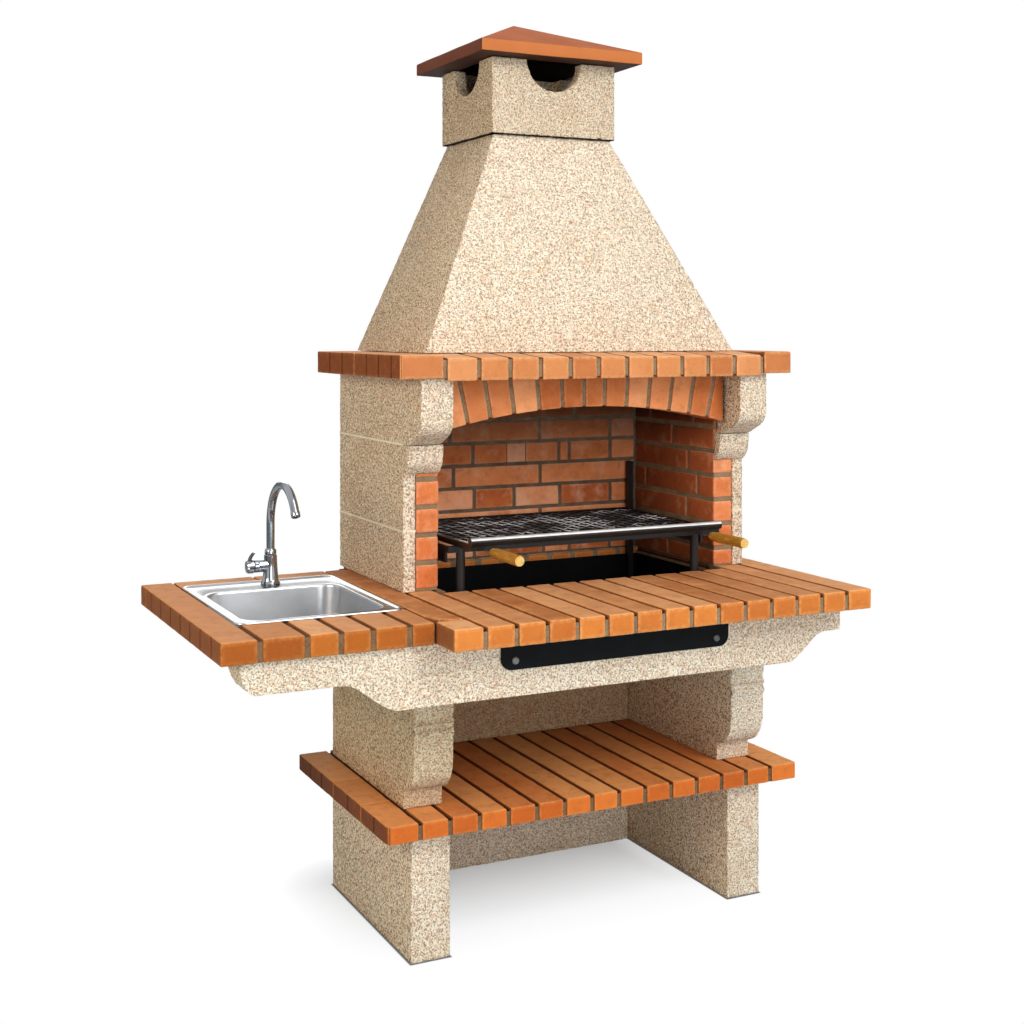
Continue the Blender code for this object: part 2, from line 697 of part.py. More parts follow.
def make_counters():
    slab = add_part(
        "main_counter",
        box((COUNTER_LEFT, COUNTER_RIGHT), (COUNTER_FRONT, COUNTER_BACK), (COUNTER_BASE, COUNTER_TOP)),
        BRICK,
    )
    cut(slab, recess_for_pan(COUNTER_BASE - CUT_OVERRUN))
    notch_x = (COUNTER_LEFT - CUT_OVERRUN, -WALL_OUTER - TOUCH_GAP)
    notch_y = (SINK_COUNTER_BACK, COUNTER_BACK + CUT_OVERRUN)
    cut(slab, box(notch_x, notch_y, (COUNTER_BASE - CUT_OVERRUN, COUNTER_TOP + CUT_OVERRUN)))
    columns = joint_places(COUNTER_LEFT, COUNTER_RIGHT, COUNTER_BRICKS)
    cut(slab, front_joints(columns, COUNTER_FRONT, COUNTER_BACK + CUT_OVERRUN, COUNTER_BASE, COUNTER_TOP))
    wing = add_part(
        "sink_counter",
        box(
            (SINK_COUNTER_LEFT, SINK_COUNTER_RIGHT),
            (SINK_COUNTER_FRONT, SINK_COUNTER_BACK),
            (COUNTER_BASE, COUNTER_TOP),
        ),
        BRICK,
    )
    cut(wing, opening_for_sink(COUNTER_BASE - CUT_OVERRUN, COUNTER_TOP + CUT_OVERRUN))
    columns = joint_places(SINK_COUNTER_LEFT, SINK_COUNTER_RIGHT, SINK_COUNTER_BRICKS)
    cut(wing, front_joints(columns, SINK_COUNTER_FRONT, SINK_FRONT, COUNTER_BASE, COUNTER_TOP))
    rows = joint_places(SINK_COUNTER_FRONT, SINK_COUNTER_BACK, SINK_COUNTER_SIDE_BRICKS)
    runs = [(y, 1 if y > SINK_FRONT + JOINT_WIDTH else 0) for y in rows]
    reach = SINK_LEFT - SINK_COUNTER_LEFT
    cut(wing, side_joints(runs, SINK_COUNTER_LEFT, 1, reach, COUNTER_BASE, COUNTER_TOP))


def course_levels():
    levels = []
    base = WALL_BASE
    for height in COURSE_HEIGHTS:
        levels.append((base, base + height))
        base += height + TOUCH_GAP
    return levels


def lower_corbel(base, top):
    """Side view of the middle course: a small rounded corbel at its top."""
    under = top - LOWER_CORBEL_HEIGHT
    outline = [(WALL_FRONT, base)]
    for reach, rise in LOWER_CORBEL_SHARES:
        outline.append((WALL_FRONT - LOWER_CORBEL_REACH * reach, under + LOWER_CORBEL_HEIGHT * rise))
    return outline + [(WALL_BACK, top), (WALL_BACK, base)]


def upper_corbel(base, top):
    """Side view of the top course: it swells out from the lower corbel to the mantel's."""
    low = WALL_FRONT - LOWER_CORBEL_REACH
    swell = UPPER_CORBEL_REACH - LOWER_CORBEL_REACH
    outline = []
    for reach, rise in UPPER_CORBEL_SHARES:
        outline.append((low - swell * reach, base + UPPER_CORBEL_CURVE * rise))
    return outline + [(WALL_FRONT - UPPER_CORBEL_REACH, top), (WALL_BACK, top), (WALL_BACK, base)]


def plain_course(base, top):
    return [(WALL_FRONT, base), (WALL_FRONT, top), (WALL_BACK, top), (WALL_BACK, base)]


def make_walls():
    outlines = (plain_course, lower_corbel, upper_corbel)
    inners = (STONE_INNER, LOWER_CORBEL_INNER, CORBEL_INNER)
    for row, (base, top) in enumerate(course_levels()):
        outline = outlines[row](base, top)
        for name, side in (("left", -1), ("right", 1)):
            inner = inners[row]
            block = prism(outline, "X", *mirrored((inner, WALL_OUTER), side))
            course = add_part("%s_course_%d" % (name, row + 1), block, STONE)
            if row > 0:
                behind = (WALL_FRONT, WALL_BACK + CUT_OVERRUN)
                across = mirrored((inner - CUT_OVERRUN, STONE_INNER), side)
                cut(course, box(across, behind, (base - CUT_OVERRUN, top + CUT_OVERRUN)))
        across = (-STONE_INNER + TOUCH_GAP, STONE_INNER - TOUCH_GAP)
        back = box(across, (STONE_BACK_FRONT, WALL_BACK), (base, top))
        add_part("back_course_%d" % (row + 1), back, STONE)


def lining_levels():
    step = (WALL_TOP - WALL_BASE) / LINING_ROWS
    return [WALL_BASE + step * i for i in range(LINING_ROWS + 1)]


def make_linings():
    levels = lining_levels()
    front = WALL_FRONT + TOUCH_GAP
    back = STONE_BACK_FRONT - TOUCH_GAP
    half_joint = JOINT_WIDTH / 2
    for name, side in (("left", -1), ("right", 1)):
        inner = side * FIREBOX_HALF
        outer = side * (STONE_INNER - TOUCH_GAP)
        lining = add_part(
            "lining_" + name,
            box(tuple(sorted((inner, outer))), (front, back), (WALL_BASE, WALL_TOP)),
            BRICK,
        )
        beds = bmesh.new()
        outline = [
            (inner - side * CUT_OVERRUN, front - CUT_OVERRUN),
            (outer + side * CUT_OVERRUN, front - CUT_OVERRUN),
            (outer + side * CUT_OVERRUN, front + JOINT_DEPTH),
            (inner + side * JOINT_DEPTH, front + JOINT_DEPTH),
            (inner + side * JOINT_DEPTH, back + CUT_OVERRUN),
            (inner - side * CUT_OVERRUN, back + CUT_OVERRUN),
        ]
        for level in levels[1:-1]:
            add_prism(beds, outline, "Z", level - half_joint, level + half_joint)
        cut(lining, beds)
        heads = bmesh.new()
        across = tuple(sorted((inner - side * CUT_OVERRUN, inner + side * JOINT_DEPTH)))
        for row, (base, top) in enumerate(zip(levels, levels[1:])):
            y = front + LINING_BRICK_LENGTH / (1 if row % 2 else 2)
            while y < FIREBOX_BACK - JOINT_WIDTH:
                add_box(heads, across, (y - half_joint, y + half_joint), (base, top))
                y += LINING_BRICK_LENGTH
        cut(lining, heads)
    half = FIREBOX_HALF - TOUCH_GAP
    lining = add_part(
        "lining_back",
        box((-half, half), (FIREBOX_BACK, back), (WALL_BASE, WALL_TOP)),
        BRICK,
    )
    depth = (FIREBOX_BACK - CUT_OVERRUN, FIREBOX_BACK + JOINT_DEPTH)
    beds = bmesh.new()
    wide = (-half - CUT_OVERRUN, half + CUT_OVERRUN)
    for level in levels[1:-1]:
        add_box(beds, wide, depth, (level - half_joint, level + half_joint))
    cut(lining, beds)
    heads = bmesh.new()
    for row, (base, top) in enumerate(zip(levels, levels[1:])):
        x = -half + LINING_BRICK_LENGTH / (1 if row % 2 else 2)
        while x < half - JOINT_WIDTH:
            add_box(heads, (x - half_joint, x + half_joint), depth, (base, top))
            x += LINING_BRICK_LENGTH
    cut(lining, heads)


def make_arch():
    half = FIREBOX_HALF - TOUCH_GAP
    front = WALL_FRONT - ARCH_FACE_SETBACK
    back = front + ARCH_THICKNESS
    radius = (half ** 2 + ARCH_RISE ** 2) / (2 * ARCH_RISE)
    crown = WALL_TOP - ARCH_END_HEIGHT + ARCH_RISE
    center = crown - radius
    spread = math.degrees(math.asin(half / radius))
    soffit = quarter_curve((0.0, center), radius, radius, 90 + spread, 90 - spread, 24)
    outline = soffit + [(half, WALL_TOP), (-half, WALL_TOP)]
    arch = add_part("arch", prism(outline, "Y", front, back), BRICK)
    high = WALL_TOP - center + CUT_OVERRUN
    groove = [
        (front - CUT_OVERRUN, radius - CUT_OVERRUN),
        (back + CUT_OVERRUN, radius - CUT_OVERRUN),
        (back + CUT_OVERRUN, radius + JOINT_DEPTH),
        (front + JOINT_DEPTH, radius + JOINT_DEPTH),
        (front + JOINT_DEPTH, high),
        (front - CUT_OVERRUN, high),
    ]
    joints = bmesh.new()
    for i in range(1, ARCH_BRICKS):
        angle = math.radians(spread * (2 * i / ARCH_BRICKS - 1))
        points = add_prism(joints, groove, "X", -JOINT_WIDTH / 2, JOINT_WIDTH / 2)
        bmesh.ops.rotate(joints, verts=points, matrix=Matrix.Rotation(angle, 3, 'Y'))
    bmesh.ops.translate(joints, verts=joints.verts, vec=(0.0, 0.0, center))
    cut(arch, joints)


def make_mantel():
    half = MANTEL_SPAN / 2
    slab = add_part(
        "mantel",
        box((-half, half), (MANTEL_FRONT, MANTEL_BACK), (MANTEL_BASE, MANTEL_TOP)),
        BRICK,
    )
    flue = box(
        inset((-FIREBOX_HALF, FIREBOX_HALF), FLUE_SIDE_SETBACK),
        (FLUE_FRONT, FLUE_BACK),
        (MANTEL_BASE - CUT_OVERRUN, MANTEL_TOP + CUT_OVERRUN),
    )
    cut(slab, flue)
    columns = joint_places(-half, half, MANTEL_BRICKS, MANTEL_CORNER_BRICK)
    cut(slab, front_joints(columns, MANTEL_FRONT, HOOD_FRONT, MANTEL_BASE, MANTEL_TOP))
    reach = half - HOOD_BASE_SPAN / 2
    for side in (-1, 1):
        rows = joint_places(MANTEL_FRONT, MANTEL_BACK, MANTEL_SIDE_BRICKS)
        runs = [(y, 1 if y > HOOD_FRONT + JOINT_WIDTH else 0) for y in rows]
        cut(slab, side_joints(runs, side * half, -side, reach, MANTEL_BASE, MANTEL_TOP))


def rectangle(x, y, level):
    return [Vector((x[i], y[j], level)) for i, j in ((0, 0), (1, 0), (1, 1), (0, 1))]


def make_hood():
    base_x = (-HOOD_BASE_SPAN / 2, HOOD_BASE_SPAN / 2)
    top_x = (-HOOD_TOP_SPAN / 2, HOOD_TOP_SPAN / 2)
    base_y = (HOOD_FRONT, HOOD_BACK)
    top_y = (HOOD_TOP_FRONT, HOOD_TOP_BACK)
    solid = bmesh.new()
    loops = [
        rectangle(base_x, base_y, HOOD_BASE),
        rectangle(top_x, top_y, HOOD_TOP),
        rectangle(inset(top_x, HOOD_WALL), inset(top_y, HOOD_WALL), HOOD_TOP),
        rectangle(inset(base_x, HOOD_WALL), inset(base_y, HOOD_WALL), HOOD_BASE),
    ]
    add_loft(solid, loops, closed=True)
    add_part("hood", solid, STONE)


def neck_plan():
    half = HOOD_TOP_SPAN / 2 + NECK_OVERHANG
    return (-half, half), (HOOD_TOP_FRONT - NECK_OVERHANG, HOOD_TOP_BACK + NECK_OVERHANG)


def make_chimney():
    x, y = neck_plan()
    solid = bmesh.new()
    loops = [
        rectangle(x, y, NECK_BASE),
        rectangle(x, y, NECK_TOP),
        rectangle(inset(x, NECK_WALL), inset(y, NECK_WALL), NECK_TOP),
        rectangle(inset(x, NECK_WALL), inset(y, NECK_WALL), NECK_BASE),
    ]
    add_loft(solid, loops, closed=True)
    neck = add_part("chimney_neck", solid, STONE)
    middle = (y[0] + y[1]) / 2
    across = inset(x, -CUT_OVERRUN)
    cut(neck, rod((middle, NECK_TOP), VENT_RADIUS, "X", across))
    through = (y[0] - CUT_OVERRUN, y[0] + NECK_WALL + CUT_OVERRUN)
    cut(neck, rod((0.0, NECK_TOP), VENT_RADIUS, "Y", through))


def make_roof_cap():
    x, y = neck_plan()
    outer_x = inset(x, -CAP_OVERHANG)
    outer_y = inset(y, -CAP_OVERHANG)
    inner_x = inset(x, NECK_WALL / 2)
    inner_y = inset(y, NECK_WALL / 2)
    eaves = CAP_BASE + CAP_FASCIA
    apex = Vector((0.0, sum(y) / 2, eaves + CAP_RISE))
    solid = bmesh.new()
    under = [solid.verts.new(point) for point in rectangle(outer_x, outer_y, CAP_BASE)]
    over = [solid.verts.new(point) for point in rectangle(outer_x, outer_y, eaves)]
    inner = [solid.verts.new(point) for point in rectangle(inner_x, inner_y, CAP_BASE)]
    tip = solid.verts.new(apex)
    hollow = solid.verts.new(apex - Vector((0.0, 0.0, CAP_SHELL)))
    for i in range(4):
        j = (i + 1) % 4
        solid.faces.new((under[i], under[j], over[j], over[i]))
        solid.faces.new((over[i], over[j], tip))
        solid.faces.new((under[i], under[j], inner[j], inner[i]))
        solid.faces.new((inner[i], inner[j], hollow))
    add_part("roof_cap", solid, TILE)


def make_pan():
    rim = COUNTER_TOP - PAN_RIM_DROP
    x = (-PAN_HALF, PAN_HALF)
    y = (PAN_FRONT, PAN_BACK)
    solid = bmesh.new()
    loops = [
        rectangle(x, y, PAN_BASE),
        rectangle(x, y, rim),
        rectangle(inset(x, PAN_SHEET), inset(y, PAN_SHEET), rim),
        rectangle(inset(x, PAN_SHEET), inset(y, PAN_SHEET), PAN_FLOOR),
    ]
    add_loft(solid, loops, closed=False)
    add_part("ember_pan", solid, BLACK_STEEL)


def shifted(solid):
    bmesh.ops.translate(solid, verts=solid.verts, vec=(GRILL_SHIFT, 0.0, 0.0))
    return solid


def make_stand():
    """The fixed stand: two front legs, two tall rear posts and a ring of bars."""
    foot = PAN_FLOOR + TOUCH_GAP
    leg_y = PAN_FRONT + PAN_SHEET + STAND_FOOT_CLEARANCE + STAND_FOOT_RADIUS
    post_half = FIREBOX_HALF - STAND_SIDE_CLEARANCE
    post_back = PAN_BACK - STAND_POST_SETBACK
    posts = bmesh.new()
    for side in (-1, 1):
        across = mirrored((post_half - STAND_POST, post_half), side)
        add_box(posts, across, (post_back - STAND_POST, post_back), (foot, STAND_POST_TOP))
    rails = shifted(box_side_rails(leg_y, post_back, post_half))
    stand = add_part("grill_stand", rails, BLACK_STEEL)
    join(stand, shifted(posts))
    legs = bmesh.new()
    for side in (-1, 1):
        center = (side * (FIREBOX_HALF - STAND_LEG_SETBACK), leg_y)
        profile = (
            (STAND_FOOT_RADIUS, foot),
            (STAND_FOOT_RADIUS, foot + STAND_FOOT_HEIGHT),
            (STAND_LEG_RADIUS, foot + STAND_FOOT_HEIGHT),
            (STAND_LEG_RADIUS, STAND_TOP - STAND_BAR / 2),
        )
        add_loft(legs, [ring(center, radius, "Z", level, 16) for radius, level in profile], closed=False)
    join(stand, shifted(legs))


def box_side_rails(leg_y, post_back, post_half):
    """The ring of bars as one solid: a front bar, a rear bar and two deep side bars."""
    outer = post_half - STAND_POST / 2
    front = leg_y - STAND_BAR / 2
    rear = post_back - STAND_POST / 2
    side_drop = STAND_TOP - STAND_SIDE_BAR
    solid = bmesh.new()
    x = (-outer, outer)
    y = (front, rear)
    edge_x = inset(x, STAND_FLAT)
    edge_y = (front + STAND_BAR, rear - STAND_FLAT)
    loops = [
        rectangle(x, y, side_drop),
        rectangle(x, y, STAND_TOP),
        rectangle(edge_x, edge_y, STAND_TOP),
        rectangle(edge_x, edge_y, side_drop),
    ]
    add_loft(solid, loops, closed=True)
    relief = box(
        (-outer - CUT_OVERRUN, outer + CUT_OVERRUN),
        (front - CUT_OVERRUN, front + STAND_BAR + STAND_FLAT),
        (side_drop - CUT_OVERRUN, STAND_TOP - STAND_BAR),
    )
    return subtract(solid, relief)


def subtract(solid, tool):
    """Cut one bmesh from another at once, for a piece that is joined to others later."""
    bmesh.ops.recalc_face_normals(solid, faces=solid.faces)
    bmesh.ops.recalc_face_normals(tool, faces=tool.faces)
    meshes = [bpy.data.meshes.new("cut") for _ in range(2)]
    for source, mesh in zip((solid, tool), meshes):
        source.to_mesh(mesh)
        source.free()
    first, second = (bpy.data.objects.new("cut", mesh) for mesh in meshes)
    for item in (first, second):
        bpy.context.collection.objects.link(item)
    step = first.modifiers.new("cut", 'BOOLEAN')
    step.solver = 'EXACT'
    step.object = second
    view = bpy.context.evaluated_depsgraph_get()
    result = bmesh.new()
    result.from_object(first, view)
    for item in (first, second):
        bpy.data.objects.remove(item, do_unlink=True)
    return result


def make_grate():
    """The grate slides out on its front rail and handles, so its origin is on its rail."""
    half = FIREBOX_HALF - GRATE_SIDE_CLEARANCE
    rail_level = STAND_TOP + RAIL_LIFT + RAIL_RADIUS - TOUCH_GAP
    origin = Vector((0.0, GRATE_FRONT, rail_level))
    holder = bpy.data.objects.new("grate_slide", None)
    bpy.context.collection.objects.link(holder)
    holder.parent = assembly
    holder.location = origin
    base = STAND_TOP + TOUCH_GAP
    inner = half - GRATE_SIDE_WIDTH
    solid = bmesh.new()
    x = (-half, half)
    y = (GRATE_FRONT, GRATE_BACK)
    loops = [
        rectangle(x, y, base),
        rectangle(x, y, base + GRATE_SIDE_HEIGHT),
        rectangle(inset(x, GRATE_SIDE_WIDTH), inset(y, GRATE_SIDE_WIDTH), base + GRATE_SIDE_HEIGHT),
        rectangle(inset(x, GRATE_SIDE_WIDTH), inset(y, GRATE_SIDE_WIDTH), base),
    ]
    add_loft(solid, loops, closed=True)
    frame = add_part("grate_frame", shifted(solid), BLACK_STEEL, origin, holder)
    ends = inset(x, -RAIL_OVERHANG)
    join(frame, shifted(rod((GRATE_FRONT, rail_level), RAIL_RADIUS, "X", ends, 16)))
    bar_run = inset((GRATE_FRONT + GRATE_SIDE_WIDTH, GRATE_BACK - GRATE_SIDE_WIDTH), TOUCH_GAP)
    bar_run = (max(bar_run[0], GRATE_FRONT + RAIL_RADIUS + TOUCH_GAP), bar_run[1])
    wire_top = base + GRATE_SIDE_HEIGHT - BAR_SIZE / 2
    bars = bmesh.new()
    step = 2 * inner / (BAR_COUNT + 1)
    bar_levels = (wire_top - BAR_SIZE / 2, wire_top + BAR_SIZE / 2)
    for i in range(1, BAR_COUNT + 1):
        middle = -inner + step * i
        add_box(bars, (middle - BAR_SIZE / 2, middle + BAR_SIZE / 2), bar_run, bar_levels)
    mesh = add_part("grate_bars", shifted(bars), BLACK_STEEL, origin, holder)
    wires = bmesh.new()
    spacing = (bar_run[1] - bar_run[0]) / (WIRE_COUNT + 1)
    wire_x = inset((-inner, inner), TOUCH_GAP)
    for i in range(1, WIRE_COUNT + 1):
        middle = bar_run[0] + spacing * i
        low = wire_top - BAR_SIZE / 2 - WIRE_SIZE / 2
        add_box(wires, wire_x, (middle - WIRE_SIZE / 2, middle + WIRE_SIZE / 2), (low, low + WIRE_SIZE))
    join(mesh, shifted(wires))
    make_handles(holder, origin, base)


def make_handles(holder, origin, base):
    """Each handle is a flat tang hung under the grate's frame, driven into a turned grip."""
    low = base - TANG_THICKNESS - TOUCH_GAP
    high = low + TANG_THICKNESS
    for name, side in (("left", -1), ("right", 1)):
        center_x = side * (FIREBOX_HALF - HANDLE_SETBACK)
        start = GRATE_FRONT - GRIP_START
        tip = start - TANG_IN_GRIP
        across = (center_x - TANG_WIDTH / 2, center_x + TANG_WIDTH / 2)
        tang = box(across, (tip, GRATE_FRONT + RAIL_RADIUS), (low, high))
        add_part("handle_tang_" + name, shifted(tang), STAINLESS, origin, holder)
        profile = [(GRIP_NECK_RADIUS, start)]
        for radius_share, length_share in GRIP_SWELL_SHARES:
            profile.append((GRIP_RADIUS * radius_share, start - GRIP_LENGTH * length_share))
        grip = turned(profile, (center_x, (low + high) / 2), "Y", steps=16)
        grip_piece = add_part("wood_grip_" + name, shifted(grip), WOOD, origin, holder, smooth=True)
        slot = box(
            inset(across, -TANG_FIT),
            (tip - TANG_FIT, start + CUT_OVERRUN),
            (low - TANG_FIT, high + TANG_FIT),
        )
        cut(grip_piece, shifted(slot))


def make_plate():
    top = TROUGH_TOP - PLATE_TOP_GAP
    base = top - PLATE_DROP
    corner = PLATE_CORNER
    outline = [(PLATE_LEFT, top)]
    outline += quarter_curve((PLATE_LEFT + corner, base + corner), corner, corner, 180, 270, 6)
    outline += quarter_curve((PLATE_RIGHT - corner, base + corner), corner, corner, 270, 360, 6)
    outline += [(PLATE_RIGHT, top)]
    front = TROUGH_FRONT - TOUCH_GAP - PLATE_THICKNESS
    plate = add_part("front_plate", prism(outline, "Y", front, front + PLATE_THICKNESS), BLACK_STEEL)
    holes = bmesh.new()
    ends = (front - CUT_OVERRUN, front + CUT_OVERRUN)
    for center in bolt_places():
        loops = [ring(center, BOLT_RADIUS + TOUCH_GAP, "Y", y, ROUND_STEPS // 2) for y in ends]
        add_loft(holes, loops, closed=False)
    cut(plate, holes)
    face = front - TOUCH_GAP
    profile = []
    for radius_share, height_share in BOLT_HEAD_SHARES:
        profile.append((BOLT_HEAD_RADIUS * radius_share, face - BOLT_HEAD_HEIGHT * height_share))
    profile += [(BOLT_RADIUS, face), (BOLT_RADIUS, TROUGH_FRONT + BOLT_LENGTH - 2 * TOUCH_GAP)]
    for name, center in zip(("left", "right"), bolt_places()):
        bolt = turned(profile, center, "Y", steps=ROUND_STEPS // 2)
        add_part("plate_bolt_" + name, bolt, BLACK_STEEL, smooth=True)


def basin_plan():
    x = inset((SINK_LEFT, SINK_RIGHT), BASIN_SIDE_MARGIN)
    return x, (SINK_FRONT + BASIN_FRONT_MARGIN, SINK_BACK - BASIN_DECK)


def basin_center():
    x, y = basin_plan()
    return (sum(x) / 2, sum(y) / 2)


def basin_floor():
    return SINK_DECK - BASIN_DEPTH


def make_sink():
    """A pressed sheet: a beaded rim, a flat deck, a tapered basin and a drain seat."""
    rim_x = (SINK_LEFT, SINK_RIGHT)
    rim_y = (SINK_FRONT, SINK_BACK)
    x, y = basin_plan()
    center_x, center_y = basin_center()
    floor = basin_floor()
    lip = COUNTER_TOP + TOUCH_GAP
    sheet = SINK_SHEET

    def rim(distance, level):
        corner = SINK_CORNER - distance / 2
        return rounded_rectangle(inset(rim_x, distance), inset(rim_y, distance), corner, level)

    def basin(distance, level):
        corner = BASIN_CORNER - distance / 2
        return rounded_rectangle(inset(x, distance), inset(y, distance), corner, level)

    def drain(radius, level):
        across = (center_x - radius, center_x + radius)
        deep = (center_y - radius, center_y + radius)
        return rounded_rectangle(across, deep, radius, level)

    seat = DRAIN_RADIUS + DRAIN_FLANGE
    top_skin = [
        rim(0.0, lip),
        rim(sheet, lip + SINK_BEAD),
        rim(SINK_BEAD_WIDTH - sheet, lip + SINK_BEAD),
        rim(SINK_BEAD_WIDTH, SINK_DECK),
        basin(-SINK_BEAD, SINK_DECK),
        basin(0.0, SINK_DECK - SINK_BEAD),
        basin(BASIN_TAPER, floor + BASIN_FLOOR_ROUND),
        basin(BASIN_TAPER + BASIN_FLOOR_ROUND / 3, floor + BASIN_FLOOR_ROUND / 3),
        basin(BASIN_TAPER + BASIN_FLOOR_ROUND, floor),
        drain(seat + DRAIN_RECESS, floor),
        drain(seat, floor - DRAIN_RECESS),
        drain(DRAIN_RADIUS - DRAIN_FLANGE, floor - DRAIN_RECESS),
    ]
    under_skin = [
        drain(DRAIN_RADIUS - DRAIN_FLANGE, floor - DRAIN_RECESS - sheet),
        drain(seat + sheet, floor - DRAIN_RECESS - sheet),
        drain(seat + DRAIN_RECESS + sheet, floor - sheet),
        basin(BASIN_TAPER + BASIN_FLOOR_ROUND - sheet, floor - sheet),
        basin(BASIN_TAPER + BASIN_FLOOR_ROUND / 3 - sheet, floor + BASIN_FLOOR_ROUND / 3 - sheet),
        basin(BASIN_TAPER - sheet, floor + BASIN_FLOOR_ROUND),
        basin(-sheet, SINK_DECK - SINK_BEAD - sheet),
        basin(-SINK_BEAD - sheet, SINK_DECK - sheet),
        rim(SINK_BEAD_WIDTH + sheet, SINK_DECK - sheet),
        rim(SINK_BEAD_WIDTH - sheet, lip + SINK_BEAD - sheet),
        rim(2 * sheet, lip + SINK_BEAD - sheet),
        rim(sheet, lip),
    ]
    solid = bmesh.new()
    add_loft(solid, top_skin + under_skin, closed=True)
    sink = add_part("sink_bowl", solid, STAINLESS, smooth=True)
    through = (SINK_DECK - CUT_OVERRUN, SINK_DECK + CUT_OVERRUN)
    cut(sink, rod((TAP_X, TAP_Y), TAP_SHANK_RADIUS + TAP_HOLE_CLEARANCE, "Z", through))


def make_drain():
    """The drain: a flanged tail clamped through the basin by a nut, with a lift-out strainer."""
    center = basin_center()
    seat = basin_floor() - DRAIN_RECESS + TOUCH_GAP
    bore = DRAIN_TAIL_RADIUS - DRAIN_WALL
    tail = DRAIN_TAIL_RADIUS - DRAIN_TAIL_WALL
    bottom = seat - DRAIN_TAIL_LENGTH
    profile = (
        (DRAIN_RADIUS + DRAIN_FLANGE / 2, seat),
        (DRAIN_RADIUS + DRAIN_FLANGE / 2, seat + DRAIN_WALL / 2),
        (DRAIN_RADIUS - DRAIN_WALL, seat + DRAIN_WALL),
        (bore - DRAIN_WALL, seat + DRAIN_WALL / 2),
        (bore - DRAIN_WALL, bottom),
        (tail, bottom),
        (tail, seat),
    )
    add_part("sink_drain", turned(profile, center, "Z", closed=True), STAINLESS, smooth=True)
    under = basin_floor() - DRAIN_RECESS - SINK_SHEET - TOUCH_GAP
    nut = (
        (tail + TOUCH_GAP, under - DRAIN_NUT_HEIGHT),
        (DRAIN_NUT_RADIUS, under - DRAIN_NUT_HEIGHT),
        (DRAIN_NUT_RADIUS, under),
        (tail + TOUCH_GAP, under),
    )
    add_part("drain_nut", turned(nut, center, "Z", closed=True), PLASTIC)
    mouth = bore - DRAIN_WALL - STRAINER_FIT
    top = seat + DRAIN_WALL + TOUCH_GAP
    knob = STRAINER_KNOB_HEIGHT
    strainer = [(mouth * share, top - knob * drop) for share, drop in STRAINER_BASKET_SHARES]
    strainer += [
        (DRAIN_RADIUS - DRAIN_WALL, top),
        (DRAIN_RADIUS - DRAIN_WALL, top + STRAINER_SHEET),
        (mouth * STRAINER_KNOB_ROOT_SHARE, top + STRAINER_SHEET),
    ]
    strainer += [(mouth * share, top + knob * rise) for share, rise in STRAINER_KNOB_SHARES]
    origin = Vector((center[0], center[1], top))
    add_part("drain_strainer", turned(strainer, center, "Z", steps=16), STAINLESS, origin, smooth=True)


def tap_levels():
    base = SINK_DECK + TOUCH_GAP
    return base, base + TAP_FLANGE_HEIGHT, base + TAP_FLANGE_HEIGHT + TAP_BODY_HEIGHT


def make_tap():
    base, waist, top = tap_levels()
    center = (TAP_X, TAP_Y)
    axis_level = waist + TAP_AXIS_HEIGHT
    socket = SPOUT_RADIUS + TOUCH_GAP
    profile = (
        (TAP_SHANK_RADIUS, base - TAP_SHANK_LENGTH),
        (TAP_SHANK_RADIUS, base),
        (TAP_FLANGE_RADIUS, base),
        (TAP_FLANGE_RADIUS, base + TAP_FLANGE_HEIGHT / 2),
        *((TAP_BODY_RADIUS * radius, waist + TAP_BODY_HEIGHT * rise) for radius, rise in TAP_FLARE_SHARES),
        (TAP_BODY_RADIUS, top),
        (socket, top),
        (socket, top - SPOUT_SPIGOT - TOUCH_GAP),
        (SPOUT_RADIUS / 2, top - SPOUT_SPIGOT - TOUCH_GAP),
        (SPOUT_RADIUS / 2, base - TAP_SHANK_LENGTH),
    )
    body = add_part("tap_body", turned(profile, center, "Z", closed=True), CHROME, smooth=True)
    sleeve_end = TAP_X - TAP_BODY_RADIUS - CARTRIDGE_LENGTH
    side_center = (TAP_Y, axis_level)
    start = TAP_X - TAP_BODY_RADIUS * CARTRIDGE_ROOT_SHARE
    join(body, rod(side_center, CARTRIDGE_RADIUS, "X", (start, sleeve_end)))
    pin_run = (sleeve_end - CUT_OVERRUN, sleeve_end + CAP_PIN_LENGTH + LEVER_FIT)
    cut(body, rod(side_center, CAP_PIN_RADIUS + LEVER_FIT, "X", pin_run, 16))
    make_lever(side_center, sleeve_end)
    make_spout(center, top)
    nut_top = SINK_DECK - SINK_SHEET - TOUCH_GAP
    nut = (
        (TAP_SHANK_RADIUS + TOUCH_GAP, nut_top - TAP_NUT_HEIGHT),
        (TAP_NUT_RADIUS, nut_top - TAP_NUT_HEIGHT),
        (TAP_NUT_RADIUS, nut_top),
        (TAP_SHANK_RADIUS + TOUCH_GAP, nut_top),
    )
    add_part("tap_nut", turned(nut, center, "Z", closed=True), CHROME)


